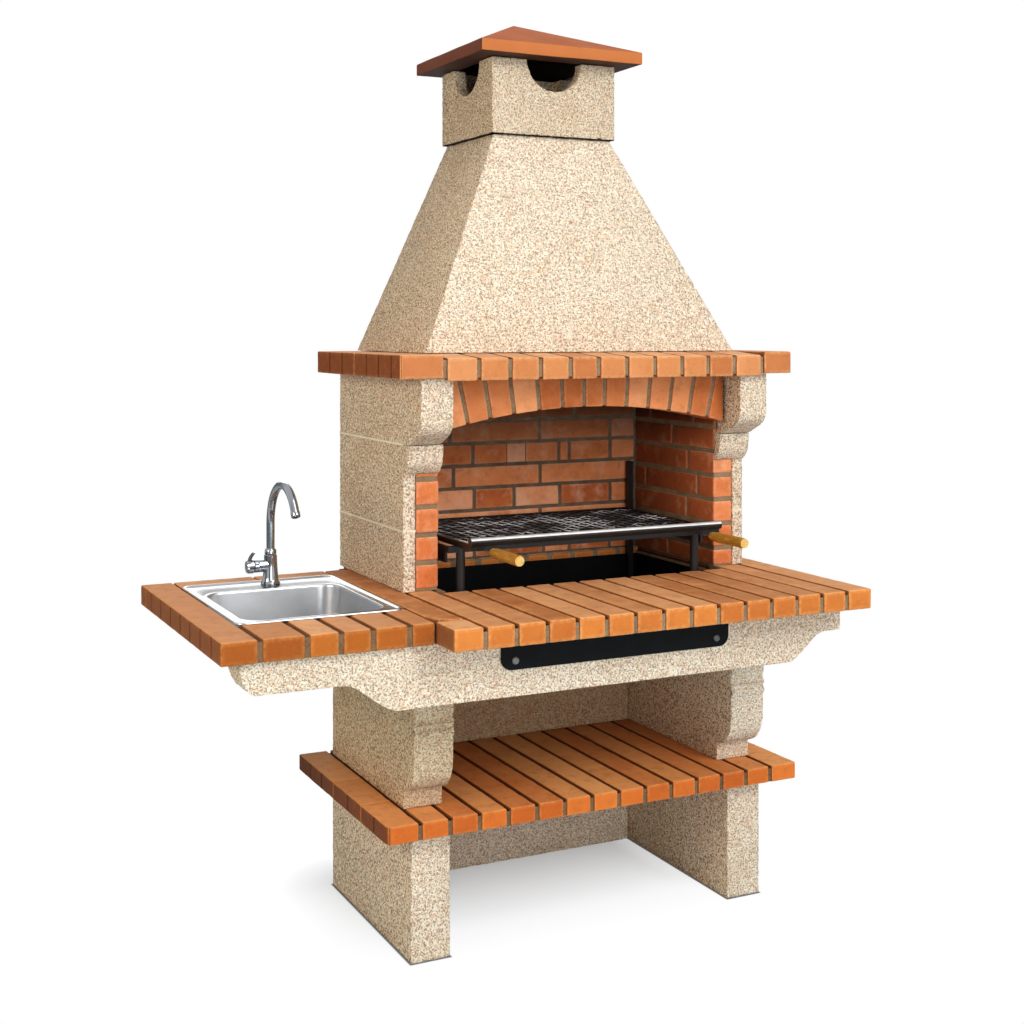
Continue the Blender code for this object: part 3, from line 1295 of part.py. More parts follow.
def make_lever(side_center, sleeve_end):
    """The cap turns about the cartridge's axis and carries the paddle lever on a pivot."""
    y, z = side_center
    face = sleeve_end - TOUCH_GAP
    profile = [(CAP_PIN_RADIUS, face + CAP_PIN_LENGTH), (CAP_PIN_RADIUS, face), (CAP_RADIUS, face)]
    for radius_share, length_share in CAP_EDGE_SHARES:
        profile.append((CAP_RADIUS * radius_share, face - CAP_LENGTH * length_share))
    origin = Vector((face, y, z))
    cap = add_part("tap_cap", turned(profile, side_center, "X"), CHROME, origin, smooth=True)
    pivot = Vector((face - CAP_LENGTH / 2, y, z + CAP_RADIUS * LEVER_PIVOT_SHARE))
    half = LEVER_WIDTH / 2 + LEVER_FIT
    cut(cap, prism(lever_slot(pivot), "Y", y - half, y + half))
    lever = add_part("tap_lever", paddle(pivot), CHROME, pivot, smooth=True)
    ends = (y - LEVER_WIDTH / 2, y + LEVER_WIDTH / 2)
    join(lever, rod((pivot.x, pivot.z), LEVER_ROOT_RADIUS, "Y", ends, 12))


def lever_slot(pivot):
    """Front view of the slot: a close seat for the lever's root that flares for its swing."""
    seat = LEVER_ROOT_RADIUS + TOUCH_GAP
    top = CAP_RADIUS + CUT_OVERRUN - CAP_RADIUS * LEVER_PIVOT_SHARE
    flare = top * math.tan(math.radians(LEVER_SLOT_FLARE))
    return [
        (pivot.x - seat, pivot.z - seat),
        (pivot.x + seat, pivot.z - seat),
        (pivot.x + seat, pivot.z),
        (pivot.x + seat + flare / 2, pivot.z + top),
        (pivot.x - seat - flare, pivot.z + top),
        (pivot.x - seat, pivot.z),
    ]


def paddle(pivot):
    """A blade that rises from its root and curls back over the cap as it widens."""
    solid = bmesh.new()
    loops = []
    steps = 8
    for i in range(steps + 1):
        t = i / steps
        rise = LEVER_LENGTH * t
        lean = math.tan(math.radians(LEVER_LEAN)) * rise * t
        half_width = LEVER_WIDTH / 2 * (LEVER_ROOT_WIDTH_SHARE + (1 - LEVER_ROOT_WIDTH_SHARE) * t)
        half_thick = LEVER_THICKNESS / 2 * (1 - (1 - LEVER_TIP_THICKNESS_SHARE) * t)
        x = (pivot.x - lean - half_thick, pivot.x - lean + half_thick)
        y = (pivot.y - half_width, pivot.y + half_width)
        loops.append(rectangle(x, y, pivot.z + rise))
    add_loft(solid, loops, closed=False)
    return solid


def spout_path(top):
    """The gooseneck's middle line: a riser, a bend over the basin, a short straight end."""
    points = [Vector((TAP_X, TAP_Y, top - SPOUT_SPIGOT)), Vector((TAP_X, TAP_Y, top + SPOUT_RISE))]
    steps = 14
    for i in range(1, steps + 1):
        angle = math.radians(SPOUT_SWEEP) * i / steps
        y = TAP_Y - SPOUT_BEND + SPOUT_BEND * math.cos(angle)
        z = top + SPOUT_RISE + SPOUT_BEND * math.sin(angle)
        points.append(Vector((TAP_X, y, z)))
    points.append(points[-1] + spout_direction() * SPOUT_DROP)
    return points


def spout_direction():
    """The way the water leaves: the tangent at the end of the bend."""
    angle = math.radians(SPOUT_SWEEP)
    return Vector((0.0, -math.sin(angle), math.cos(angle)))


def tube_loops(points, radius, steps=12):
    """Rings across a path that lies in a plane of constant x."""
    loops = []
    for i, point in enumerate(points):
        before = points[max(i - 1, 0)]
        after = points[min(i + 1, len(points) - 1)]
        along = (after - before).normalized()
        side = Vector((1.0, 0.0, 0.0))
        across = along.cross(side)
        loop = []
        for j in range(steps):
            angle = 2 * math.pi * j / steps
            loop.append(point + side * radius * math.cos(angle) + across * radius * math.sin(angle))
        loops.append(loop)
    return loops


def make_spout(center, top):
    path = spout_path(top)
    solid = bmesh.new()
    outer = tube_loops(path, SPOUT_RADIUS)
    inner = tube_loops(path, SPOUT_RADIUS - SPOUT_WALL)
    add_loft(solid, outer + inner[::-1], closed=True)
    origin = Vector((TAP_X, TAP_Y, top))
    spout = add_part("tap_spout", solid, CHROME, origin, smooth=True)
    low = top + TOUCH_GAP
    profile = (
        (SPOUT_RADIUS - SPOUT_WALL / 2, low),
        (SPOUT_COLLAR_RADIUS, low),
        (SPOUT_COLLAR_RADIUS, low + SPOUT_COLLAR_HEIGHT * SPOUT_COLLAR_SHOULDER_SHARE),
        (SPOUT_RADIUS - SPOUT_WALL / 2, low + SPOUT_COLLAR_HEIGHT),
    )
    join(spout, turned(profile, center, "Z", closed=True, steps=16))
    tip = path[-1]
    seat = SPOUT_RADIUS + TOUCH_GAP
    bore = SPOUT_RADIUS * AERATOR_BORE_SHARE
    profile = (
        (seat, AERATOR_LAP),
        (AERATOR_RADIUS, AERATOR_LAP),
        (AERATOR_RADIUS, AERATOR_LAP - AERATOR_HEIGHT),
        (bore, AERATOR_LAP - AERATOR_HEIGHT),
        (bore, -TOUCH_GAP),
        (seat, -TOUCH_GAP),
    )
    aerator = turned(profile, (0.0, 0.0), "Z", closed=True, steps=12)
    tilt = Vector((0.0, 0.0, 1.0)).rotation_difference(-spout_direction())
    stance = Matrix.Translation(tip) @ tilt.to_matrix().to_4x4()
    bmesh.ops.transform(aerator, verts=aerator.verts, matrix=stance)
    add_part("tap_aerator", aerator, CHROME, origin, smooth=True)


def stand_on_origin():
    """Move the assembly so that the origin is the middle of its footprint on the ground."""
    view = bpy.context.evaluated_depsgraph_get()
    corners = []
    for piece in bpy.data.objects:
        if piece.type == 'MESH' and not piece.hide_render:
            shown = piece.evaluated_get(view)
            corners += [shown.matrix_world @ Vector(corner) for corner in shown.bound_box]
    low = [min(corner[i] for corner in corners) for i in range(3)]
    high = [max(corner[i] for corner in corners) for i in range(3)]
    assembly.location = (-(low[0] + high[0]) / 2, -(low[1] + high[1]) / 2, -low[2])


clear_scene()
assembly = bpy.data.objects.new("barbecue", None)
bpy.context.collection.objects.link(assembly)
make_feet_and_panels()
make_shelf()
make_trough()
make_counters()
make_walls()
make_linings()
make_arch()
make_mantel()
make_hood()
make_chimney()
make_roof_cap()
make_pan()
make_stand()
make_grate()
make_plate()
make_sink()
make_drain()
make_tap()
bpy.context.view_layer.update()
stand_on_origin()
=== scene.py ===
import math
import random

import bmesh
import bpy
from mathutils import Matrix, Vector, noise


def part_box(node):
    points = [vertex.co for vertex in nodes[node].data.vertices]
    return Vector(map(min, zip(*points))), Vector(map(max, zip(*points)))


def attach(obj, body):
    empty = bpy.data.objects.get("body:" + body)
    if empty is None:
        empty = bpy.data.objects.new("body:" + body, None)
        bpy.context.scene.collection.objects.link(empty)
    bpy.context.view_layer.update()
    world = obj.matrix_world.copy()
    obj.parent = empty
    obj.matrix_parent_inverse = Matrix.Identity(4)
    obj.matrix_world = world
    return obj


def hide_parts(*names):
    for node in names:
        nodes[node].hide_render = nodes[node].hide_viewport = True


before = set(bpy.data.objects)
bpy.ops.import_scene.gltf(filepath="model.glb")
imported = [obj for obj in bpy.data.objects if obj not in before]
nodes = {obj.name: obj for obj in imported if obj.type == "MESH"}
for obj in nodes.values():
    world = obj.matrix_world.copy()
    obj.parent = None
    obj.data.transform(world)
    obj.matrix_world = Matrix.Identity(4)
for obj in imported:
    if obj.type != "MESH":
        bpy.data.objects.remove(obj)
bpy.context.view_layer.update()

feet = [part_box("foot_left"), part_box("foot_right")]
middleX = (feet[0][0].x + feet[1][1].x) / 2
frontY = feet[0][0].y
print("frame loaded:", len(nodes), "nodes")


def at(x, y, z):  # a place right of the firebox's middle, behind the feet's fronts, above the ground
    return Vector((middleX + x, frontY + y, z))


def middleOf(box):
    return (box[0] + box[1]) / 2


def columns(places):  # widths from the firebox's middle
    return [middleX + x for x in places]


def rows(places):  # depths from the feet's fronts
    return [frontY + y for y in places]


# Paint


def shade(code):  # a hex code as a linear colour; anything else stays as it is
    if not isinstance(code, str):
        return code
    channels = [int(code[i:i + 2], 16) / 255 for i in (1, 3, 5)]
    linear = [value / 12.92 if value <= 0.04045 else ((value + 0.055) / 1.055) ** 2.4 for value in channels]
    return (*linear, 1.0)


class Signal:  # a socket that takes part in sums
    def __init__(self, tree, socket):
        self.tree = tree
        self.socket = socket

    def __add__(self, other):
        return self.tree.maths("ADD", self, other)

    def __radd__(self, other):
        return self.tree.maths("ADD", other, self)

    def __sub__(self, other):
        return self.tree.maths("SUBTRACT", self, other)

    def __rsub__(self, other):
        return self.tree.maths("SUBTRACT", other, self)

    def __mul__(self, other):
        return self.tree.maths("MULTIPLY", self, other)

    def __rmul__(self, other):
        return self.tree.maths("MULTIPLY", other, self)


class Tree:  # the nodes of a material or of the world
    def __init__(self, owner):
        owner.use_nodes = True
        self.tree = owner.node_tree

    def node(self, kind, settings=None, inputs=None, output=0):
        made = self.tree.nodes.new("ShaderNode" + kind)
        for key, value in (settings or {}).items():
            if key == "stops":
                elements = made.color_ramp.elements
                while len(elements) < len(value):
                    elements.new(1.0)
                for element, (position, color) in zip(elements, value):
                    element.position = position
                    element.color = shade(color)
            else:
                setattr(made, key, value)
        for key, value in (inputs or {}).items():
            self.feed(made.inputs[key], value)
        return Signal(self, made.outputs[output])

    def feed(self, socket, value):
        if isinstance(value, Signal):
            self.tree.links.new(value.socket, socket)
        else:
            socket.default_value = shade(value)

    def maths(self, operation, *values):
        return self.node("Math", {"operation": operation}, dict(enumerate(values)))

    def vector(self, operation, *values, output=0):
        return self.node("VectorMath", {"operation": operation}, dict(enumerate(values)), output)

    def axis(self, where, axis):
        return self.node("SeparateXYZ", {}, {0: where}, axis)

    def place(self):
        return self.node("TexCoord", output="Object")

    def facing(self, axis, low, high):  # 1 where the surface faces along the axis, 0 where it turns away
        return self.level(self.axis(self.node("TexCoord", output="Normal"), axis), low, high)

    def mark(self, name):
        return self.node("Attribute", {"attribute_name": name}, output="Fac")

    def shaken(self, where, scale, amount):  # moves the place about, so that cells lose their straight sides
        drift = self.node("TexNoise", {}, {"Vector": where, "Scale": scale, "Detail": 2.0}, "Color")
        centred = self.vector("SUBTRACT", drift, (0.5, 0.5, 0.5))
        return self.vector("ADD", where, self.vector("MULTIPLY", centred, (amount,) * 3))

    def cloud(self, where, scale, detail=4.0, roughness=0.55):
        inputs = {"Vector": where, "Scale": scale, "Detail": detail, "Roughness": roughness}
        return self.node("TexNoise", {}, inputs, "Fac")

    def grains(self, where, scale, output="Distance"):
        return self.node("TexVoronoi", {}, {"Vector": where, "Scale": scale}, output)

    def ramp(self, value, *stops):
        return self.node("ValToRGB", {"stops": stops}, {"Fac": value}, "Color")

    def level(self, value, low, high):  # 0 below low, 1 above high
        inputs = {"Value": value, "From Min": low, "From Max": high}
        return self.node("MapRange", {"clamp": True}, inputs, "Result")

    def mix(self, factor, one, two, way="MIX"):
        settings = {"data_type": "RGBA", "blend_type": way}
        return self.node("Mix", settings, {0: factor, 6: one, 7: two}, 2)

    def bump(self, height, strength, distance):
        return self.node("Bump", {}, {"Height": height, "Strength": strength, "Distance": distance}, "Normal")


class Paint(Tree):
    def __init__(self, name):
        self.material = bpy.data.materials.new(name)
        super().__init__(self.material)
        self.shader = self.tree.nodes["Principled BSDF"]

    def apply(self, **values):
        names = {"color": "Base Color", "specular": "Specular IOR Level"}
        for name, value in values.items():
            self.feed(self.shader.inputs[names.get(name, name.title())], value)
        return self.material


stoneLook = {
    "pit": "#6C4A32",
    "sand": "#C8A482",
    "middle": "#E6CEB2",
    "pale": "#F0E2CB",
    "cream": "#F8F3E7",
    "rose": "#D9A384",
    "speck": "#6E563E",
    # painted shade: a browner tint for left-facing faces
    "shadedWest": (1.0, 0.955, 0.87, 1.0),
    "grain": 0.0048,
    "blot": 245.0,
    "relief": 0.0020,
}


def paintStone(name, wash=None):
    paint = Paint(name)
    where = paint.place()
    loose = paint.shaken(where, 170.0, 0.0035)
    cells = paint.grains(loose, 1 / stoneLook["grain"], "Color")
    pick, odd = (paint.node("SeparateColor", {}, {0: cells}, channel) for channel in (0, 1))
    fine = paint.cloud(where, 420.0, 3.0, 0.65)
    broad = paint.cloud(where, 6.0, 3.0, 0.6)
    value = pick * 0.42 + fine * 0.55 + (broad - 0.5) * 0.22 + 0.02
    stops = ((0.16, "sand"), (0.34, "middle"), (0.52, "pale"), (0.80, "cream"))
    color = paint.ramp(value, *((position, stoneLook[key]) for position, key in stops))
    blush = paint.level(paint.cloud(where, 26.0, 4.0, 0.7), 0.55, 0.75)
    color = paint.mix(blush * 0.26, color, stoneLook["rose"])
    color = paint.mix(paint.level(odd, 0.90, 0.95) * 0.55, color, stoneLook["rose"])
    core = paint.grains(loose, 0.72 / stoneLook["grain"])
    pits = 1 - paint.level(paint.cloud(loose, stoneLook["blot"], 2.0, 0.55), 0.41, 0.49)
    # painted shade: left-facing faces get more brown pits and a browner tint
    shadedWest = 1 - paint.facing(0, -0.85, -0.45)
    color = paint.mix(pits * (0.62 + shadedWest * 0.22), color, stoneLook["pit"])
    color = paint.mix(shadedWest, color, stoneLook["shadedWest"], "MULTIPLY")
    specks = 1 - paint.level(paint.grains(loose, 105.0), 0.10, 0.20)
    color = paint.mix(specks * 0.5, color, stoneLook["speck"])
    # painted shade: a darker tint over the whole block
    if wash:
        color = paint.mix(1.0, color, wash, "MULTIPLY")
    normal = paint.bump(fine * 0.6 + core * 0.7 - pits * 0.5, 0.9, stoneLook["relief"])
    return paint.apply(color=color, roughness=0.92, specular=0.15, normal=normal)


def paintSoot(name):
    paint = Paint(name)
    where = paint.place()
    fine = paint.cloud(where, 240.0, 3.0, 0.65)
    color = paint.ramp(fine * 0.5 + paint.cloud(where, 9.0, 3.0) * 0.5, (0.35, "#060505"), (0.65, "#17130F"))
    return paint.apply(color=color, roughness=0.95, specular=0.1, normal=paint.bump(fine, 0.6, 0.0015))


# each look's side colour is painted shade on left-facing faces; its edge colour marks worn arrises and also
# stands in for their highlight; its sheen share paints sheen; a shade-to-back entry paints shade towards the
# back
brickLooks = {
    "slab": {
        "tones": ("#B05C22", "#C16C2B", "#CD7731", "#D9843D"), "top": ("#A4602F", "#F2BC8A"),
        "side": "#7A4526", "edge": "#EEAE6C", "stain": "#9E5A2A", "wear": 0.70, "sheenAndGlow": 0.0,
    },
    "shelf": {
        "tones": ("#B65418", "#C76220", "#D36D26", "#DF7A30"), "top": ("#D67A3E", "#FFBC78"),
        "side": "#653419", "edge": "#E29C5C", "stain": "#94501F", "wear": 0.60, "sheenAndGlow": 0.0,
        "shadeToBack": (0.15, 0.58, 0.54),
    },
    "mantel": {
        "tones": ("#B16635", "#BF7443", "#CA814C", "#D48E5C"), "top": ("#C9865A", "#F4BE92"),
        "side": "#763609", "edge": "#ECB883", "stain": "#A6623A", "wear": 0.70, "sheenAndGlow": 0.0,
    },
    "wing": {
        "tones": ("#93480F", "#A15213", "#AD5D19", "#BA6924"), "top": ("#C08050", "#F0BA8E"),
        "side": "#7B4523", "edge": "#D89A58", "stain": "#945424", "wear": 0.55, "sheenAndGlow": 0.0,
    },
    "lining": {
        "tones": ("#B45628", "#D2723C", "#E48A54", "#EEA880"), "top": ("#C87040", "#E89866"),
        "side": "#B85C30", "edge": "#F2B894", "stain": "#7E4222", "wear": 0.50, "sheenAndGlow": 0.42,
        "shadeToBack": (0.12, 0.36, 0.38),
    },
    "hearth": {
        "tones": ("#AE5224", "#DC783E", "#F29862", "#FCBA94"), "top": ("#C87040", "#E89866"),
        "side": "#B85C30", "edge": "#F8C4A4", "stain": "#7E4222", "wear": 0.50, "sheenAndGlow": 0.60,
    },
    "arch": {
        "tones": ("#AE5A2A", "#C8743F", "#DA8A56", "#EAA674"), "top": ("#B8642F", "#E09256"),
        "side": "#A85830", "edge": "#E8A678", "stain": "#8E4C28", "wear": 0.6, "sheenAndGlow": 0.14,
    },
}
brickSootAndShade = "#2A1409"


def paintBrick(name, look):
    paint = Paint(name)
    where = paint.place()
    drift = paint.cloud(where, 13.0, 3.0, 0.6)
    tone = paint.mark("tone") * 0.8 + drift * 0.6 - 0.20
    last = len(look["tones"]) - 1
    color = paint.ramp(tone, *((i / last, code) for i, code in enumerate(look["tones"])))
    up = paint.facing(2, 0.45, 0.85)
    shadedWest = 1 - paint.facing(0, -0.85, -0.45)
    color = paint.mix(up * 0.85, color, paint.ramp(tone, *enumerate(look["top"])))
    # painted shade: left-facing faces take the darker side colour
    color = paint.mix(shadedWest * 0.92, color, look["side"])
    patch = paint.level(paint.cloud(where, 30.0, 5.0, 0.68), 0.50, 0.74)
    color = paint.mix(patch * 0.42, color, look["stain"])
    # pale patches on top faces, and painted sheen in patches over all faces of the firebox and arch bricks
    paleAndSheen = paint.level(paint.cloud(where, 17.0, 4.0, 0.6), 0.52, 0.72)
    color = paint.mix(paleAndSheen * (up * 0.40 + look["sheenAndGlow"]), color, look["edge"])
    sand = paint.cloud(where, 520.0, 2.0, 0.7)
    color = paint.mix(paint.level(sand, 0.58, 0.72) * 0.40, color, look["stain"])
    color = paint.mix((1 - paint.level(sand, 0.28, 0.42)) * 0.30, color, look["edge"])
    # pale worn arrises, which also stand in for the highlight along the rounded edges; less of it on
    # left-facing faces, which are in shade
    wearAndHighlight = paint.level(paint.cloud(where, 95.0, 3.0, 0.6), 0.32, 0.62)
    worn = paint.mark("wear") * wearAndHighlight * (1 - shadedWest * 0.75)
    color = paint.mix(worn * look["wear"], color, look["edge"])
    if "shadeToBack" in look:  # painted shade, darker towards the back
        start, end, most = look["shadeToBack"]
        deep = paint.level(paint.axis(where, 1), frontY + start, frontY + end)
        color = paint.mix(deep * most, color, brickSootAndShade)
    color = paint.mix(paint.mark("groove"), color, "#2E170C")
    # soot together with painted shade, high in the firebox under the arch
    color = paint.mix(paint.mark("soot"), color, brickSootAndShade)
    normal = paint.bump(paint.cloud(where, 210.0, 3.0, 0.65) * 0.7 + sand * 0.3, 0.32, 0.0012)
    return paint.apply(color=color, roughness=0.66 + drift * 0.2, specular=0.22, normal=normal)


def paintMortar(name, dark, pale):
    paint = Paint(name)
    where = paint.place()
    sand = paint.cloud(where, 380.0, 3.0, 0.7)
    color = paint.ramp(sand * 0.7 + paint.cloud(where, 22.0, 3.0) * 0.4 - 0.05, (0.35, dark), (0.65, pale))
    return paint.apply(color=color, roughness=0.95, specular=0.2, normal=paint.bump(sand, 0.6, 0.0015))


def paintTile(name):
    paint = Paint(name)
    where = paint.place()
    fine = paint.cloud(where, 260.0, 3.0, 0.65)
    broad = paint.cloud(where, 7.0, 4.0, 0.6)
    color = paint.ramp(broad, (0.3, "#A4542A"), (0.55, "#B06234"), (0.75, "#B96E3F"))
    # painted light: front-facing faces lighter
    color = paint.mix((1 - paint.facing(1, -0.9, -0.6)) * 0.7, color, "#BE7038")
    # painted shade: left-facing faces darker
    color = paint.mix((1 - paint.facing(0, -0.9, -0.5)) * 0.8, color, "#50200F")
    color = paint.mix(paint.level(fine, 0.58, 0.72) * 0.3, color, "#8E3E22")
    # painted shade: downward faces nearly black
    color = paint.mix((1 - paint.facing(2, -0.9, -0.5)) * 0.92, color, "#28120A")
    normal = paint.bump(fine, 0.25, 0.0012)
    return paint.apply(color=color, roughness=0.55 + fine * 0.2, specular=0.25, normal=normal)


def paintBlackSteel(name, roughness=0.42, sheen=0.5, dark="#08090A", pale="#131518"):
    paint = Paint(name)
    where = paint.place()
    broad = paint.cloud(where, 18.0, 4.0, 0.6)
    color = paint.ramp(broad, (0.3, dark), (0.7, pale))
    normal = paint.bump(paint.cloud(where, 420.0, 2.0, 0.6), 0.18, 0.0006)
    return paint.apply(color=color, roughness=roughness - 0.08 + broad * 0.16, specular=sheen, normal=normal)


def paintRail(name):  # black, with a painted highlight along the front rail's upper edge
    paint = Paint(name)
    where = paint.place()
    front = (nodes["grate_frame"].matrix_world.inverted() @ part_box("grate_frame")[0]).y
    edge = (0.0, -0.766, 0.643)
    upper = paint.vector("DOT_PRODUCT", paint.node("TexCoord", output="Normal"), edge, output="Value")
    near = 1 - paint.level(paint.axis(where, 1), front + 0.020, front + 0.026)
    # painted highlight: a bright line on the upper front of the front rail
    wearAndHighlight = paint.level(upper, 0.93, 0.985) * near * (0.55 + paint.cloud(where, 30.0) * 0.6)
    color = paint.ramp(paint.cloud(where, 18.0, 4.0, 0.6), (0.3, "#08090A"), (0.7, "#121315"))
    color = paint.mix(wearAndHighlight, color, "#F2F3F4")
    normal = paint.bump(paint.cloud(where, 420.0, 2.0), 0.12, 0.0006)
    return paint.apply(color=color, roughness=0.32, specular=0.4, normal=normal)


def paintWire(name):  # painted glints: bright in patches, black elsewhere
    paint = Paint(name)
    where = paint.place()
    bright = paint.level(paint.cloud(where, 8.0, 2.0, 0.5), 0.47, 0.60)
    color = paint.mix(bright * (0.6 + paint.cloud(where, 90.0) * 0.6), "#141517", "#DCDEE0")
    return paint.apply(color=color, roughness=0.35, specular=0.8)


def paintBrushed(name, direction):
    paint = Paint(name)
    where = paint.place()
    lines = paint.cloud(paint.vector("MULTIPLY", where, direction), 900.0, 3.0, 0.6)
    broad = paint.cloud(where, 9.0, 3.0)
    deck = paint.facing(2, 0.80, 0.97)
    color = paint.ramp(broad * 0.7 + lines * 0.3, (0.3, "#B8BABD"), (0.7, "#D0D2D5"))
    # painted reflection: up-facing steel darker, like the dark reflections on the deck
    color = paint.mix(deck * 0.55, color, "#84878B")
    return paint.apply(color=color, roughness=0.26 + lines * 0.08 + broad * 0.06 - deck * 0.10, metallic=1.0)


def paintChrome(name):
    paint = Paint(name)
    smear = paint.cloud(paint.place(), 40.0, 4.0, 0.6)
    return paint.apply(color="#A2A6AB", roughness=0.04 + smear * 0.07, metallic=1.0)


def paintWood(name, dark, middle, pale):
    paint = Paint(name)
    where = paint.place()
    grain = paint.cloud(paint.vector("MULTIPLY", where, (1.0, 0.12, 1.0)), 420.0, 4.0, 0.65)
    broad = paint.cloud(paint.vector("MULTIPLY", where, (1.0, 0.2, 1.0)), 90.0, 3.0)
    color = paint.ramp(grain * 0.6 + broad * 0.4, (0.30, dark), (0.5, middle), (0.72, pale))
    normal = paint.bump(grain, 0.25, 0.0008)
    return paint.apply(color=color, roughness=0.38 + grain * 0.2, specular=0.45, normal=normal)


def paintPlastic(name):
    paint = Paint(name)
    fine = paint.cloud(paint.place(), 300.0, 2.0)
    color = paint.ramp(fine, (0.3, "#D4D4D0"), (0.7, "#E6E6E2"))
    return paint.apply(color=color, roughness=0.45, normal=paint.bump(fine, 0.1, 0.0005))


paints = {
    "stone": paintStone("roughCastStone"),
    # darker copies of the stone: painted shade for the chimney neck, the left pedestal and the upper back
    # panel
    "shadedNeckStone": paintStone("shadedNeckStone", "#EEEBE6"),
    "shadedStone": paintStone("shadedStone", "#F1E8D9"),
    "shadedPanelStone": paintStone("shadedPanelStone", "#CDBBA8"),
    **{key: paintBrick(key + "Brick", look) for key, look in brickLooks.items()},
    "mortar": paintMortar("paleMortar", "#6A543C", "#A38C70"),
    # darker mortars for the beds' upward faces: painted shade in the recessed top joints
    "shadedJointTop": paintMortar("shadedGrout", "#1C120C", "#33221A"),
    "shadedWingMortar": paintMortar("shadedWingMortar", "#3A2C20", "#6E5A44"),
    "liningMortar": paintMortar("firedMortar", "#524334", "#82725E"),
    "jambMortar": paintMortar("jambMortar", "#6E5A44", "#A08A6E"),
    "wingMortar": paintMortar("wingMortar", "#5C4532", "#8C6E50"),
    "pointing": paintMortar("palePointing", "#E0D4BA", "#FAF0DC"),
    "tile": paintTile("roofTile"),
    "flueSoot": paintSoot("flueSoot"),
    "steel": paintBlackSteel("blackSteel"),
    "plate": paintBlackSteel("plateSteel", 0.60, 0.10, "#08090A", "#101113"),
    "rail": paintRail("grateRail"),
    "bars": paintBlackSteel("grateBars", 0.50, 0.25, "#040404", "#0B0B0C"),
    "soot": paintBlackSteel("sootySteel", 0.66, 0.08, "#050607", "#0C0D0F"),
    "wire": paintWire("glintPaintedWire"),
    "bolt": paintBlackSteel("boltSteel", 0.35, 0.6, "#3C3E40", "#77797B"),
    "brushed": paintBrushed("brushedSteel", (0.05, 1.0, 1.0)),
    "chrome": paintChrome("tapChrome"),
    "wood": paintWood("turnedWood", "#6A400E", "#AC7824", "#DCAC4C"),
    "endGrain": paintWood("sawnEndGrain", "#C09040", "#E0B868", "#F0D490"),
    "plastic": paintPlastic("nutPlastic"),
}
print("paints mixed:", len(paints))


def adopt(mesh, body, *replaced):
    piece = bpy.data.objects.new(mesh.name, mesh)
    bpy.context.scene.collection.objects.link(piece)
    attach(piece, body)
    if replaced:
        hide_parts(*replaced)
    return piece


def skinned(name, skin, looks, slots=None, smooth=True, crease=None):  # a crease also turns the faces out
    mesh = bpy.data.meshes.new(name)
    mesh.from_pydata(skin[0], [], skin[1])
    for look in looks:
        mesh.materials.append(paints[look])
    if slots:
        mesh.polygons.foreach_set("material_index", slots)
    if smooth:
        mesh.shade_smooth()
    if crease:
        shell = bmesh.new()
        shell.from_mesh(mesh)
        bmesh.ops.recalc_face_normals(shell, faces=shell.faces)
        shell.to_mesh(mesh)
        shell.free()
        mesh.set_sharp_from_angle(angle=math.radians(crease))
    return mesh


# Bricks and mortar


brickWear = {
    "reach": 1.9, "ripples": 70.0,
    "chips": 28.0, "aside": Vector((3.1, 7.7, 1.3)), "sound": 0.25, "chip": 0.004,
}
scoring = {"half": 0.0040, "depth": 0.0036, "clear": 0.006, "edges": (-0.0052, -0.0032, 0.0032, 0.0052)}
bedLift = 0.001  # how far above the bricks' undersides their mortar starts


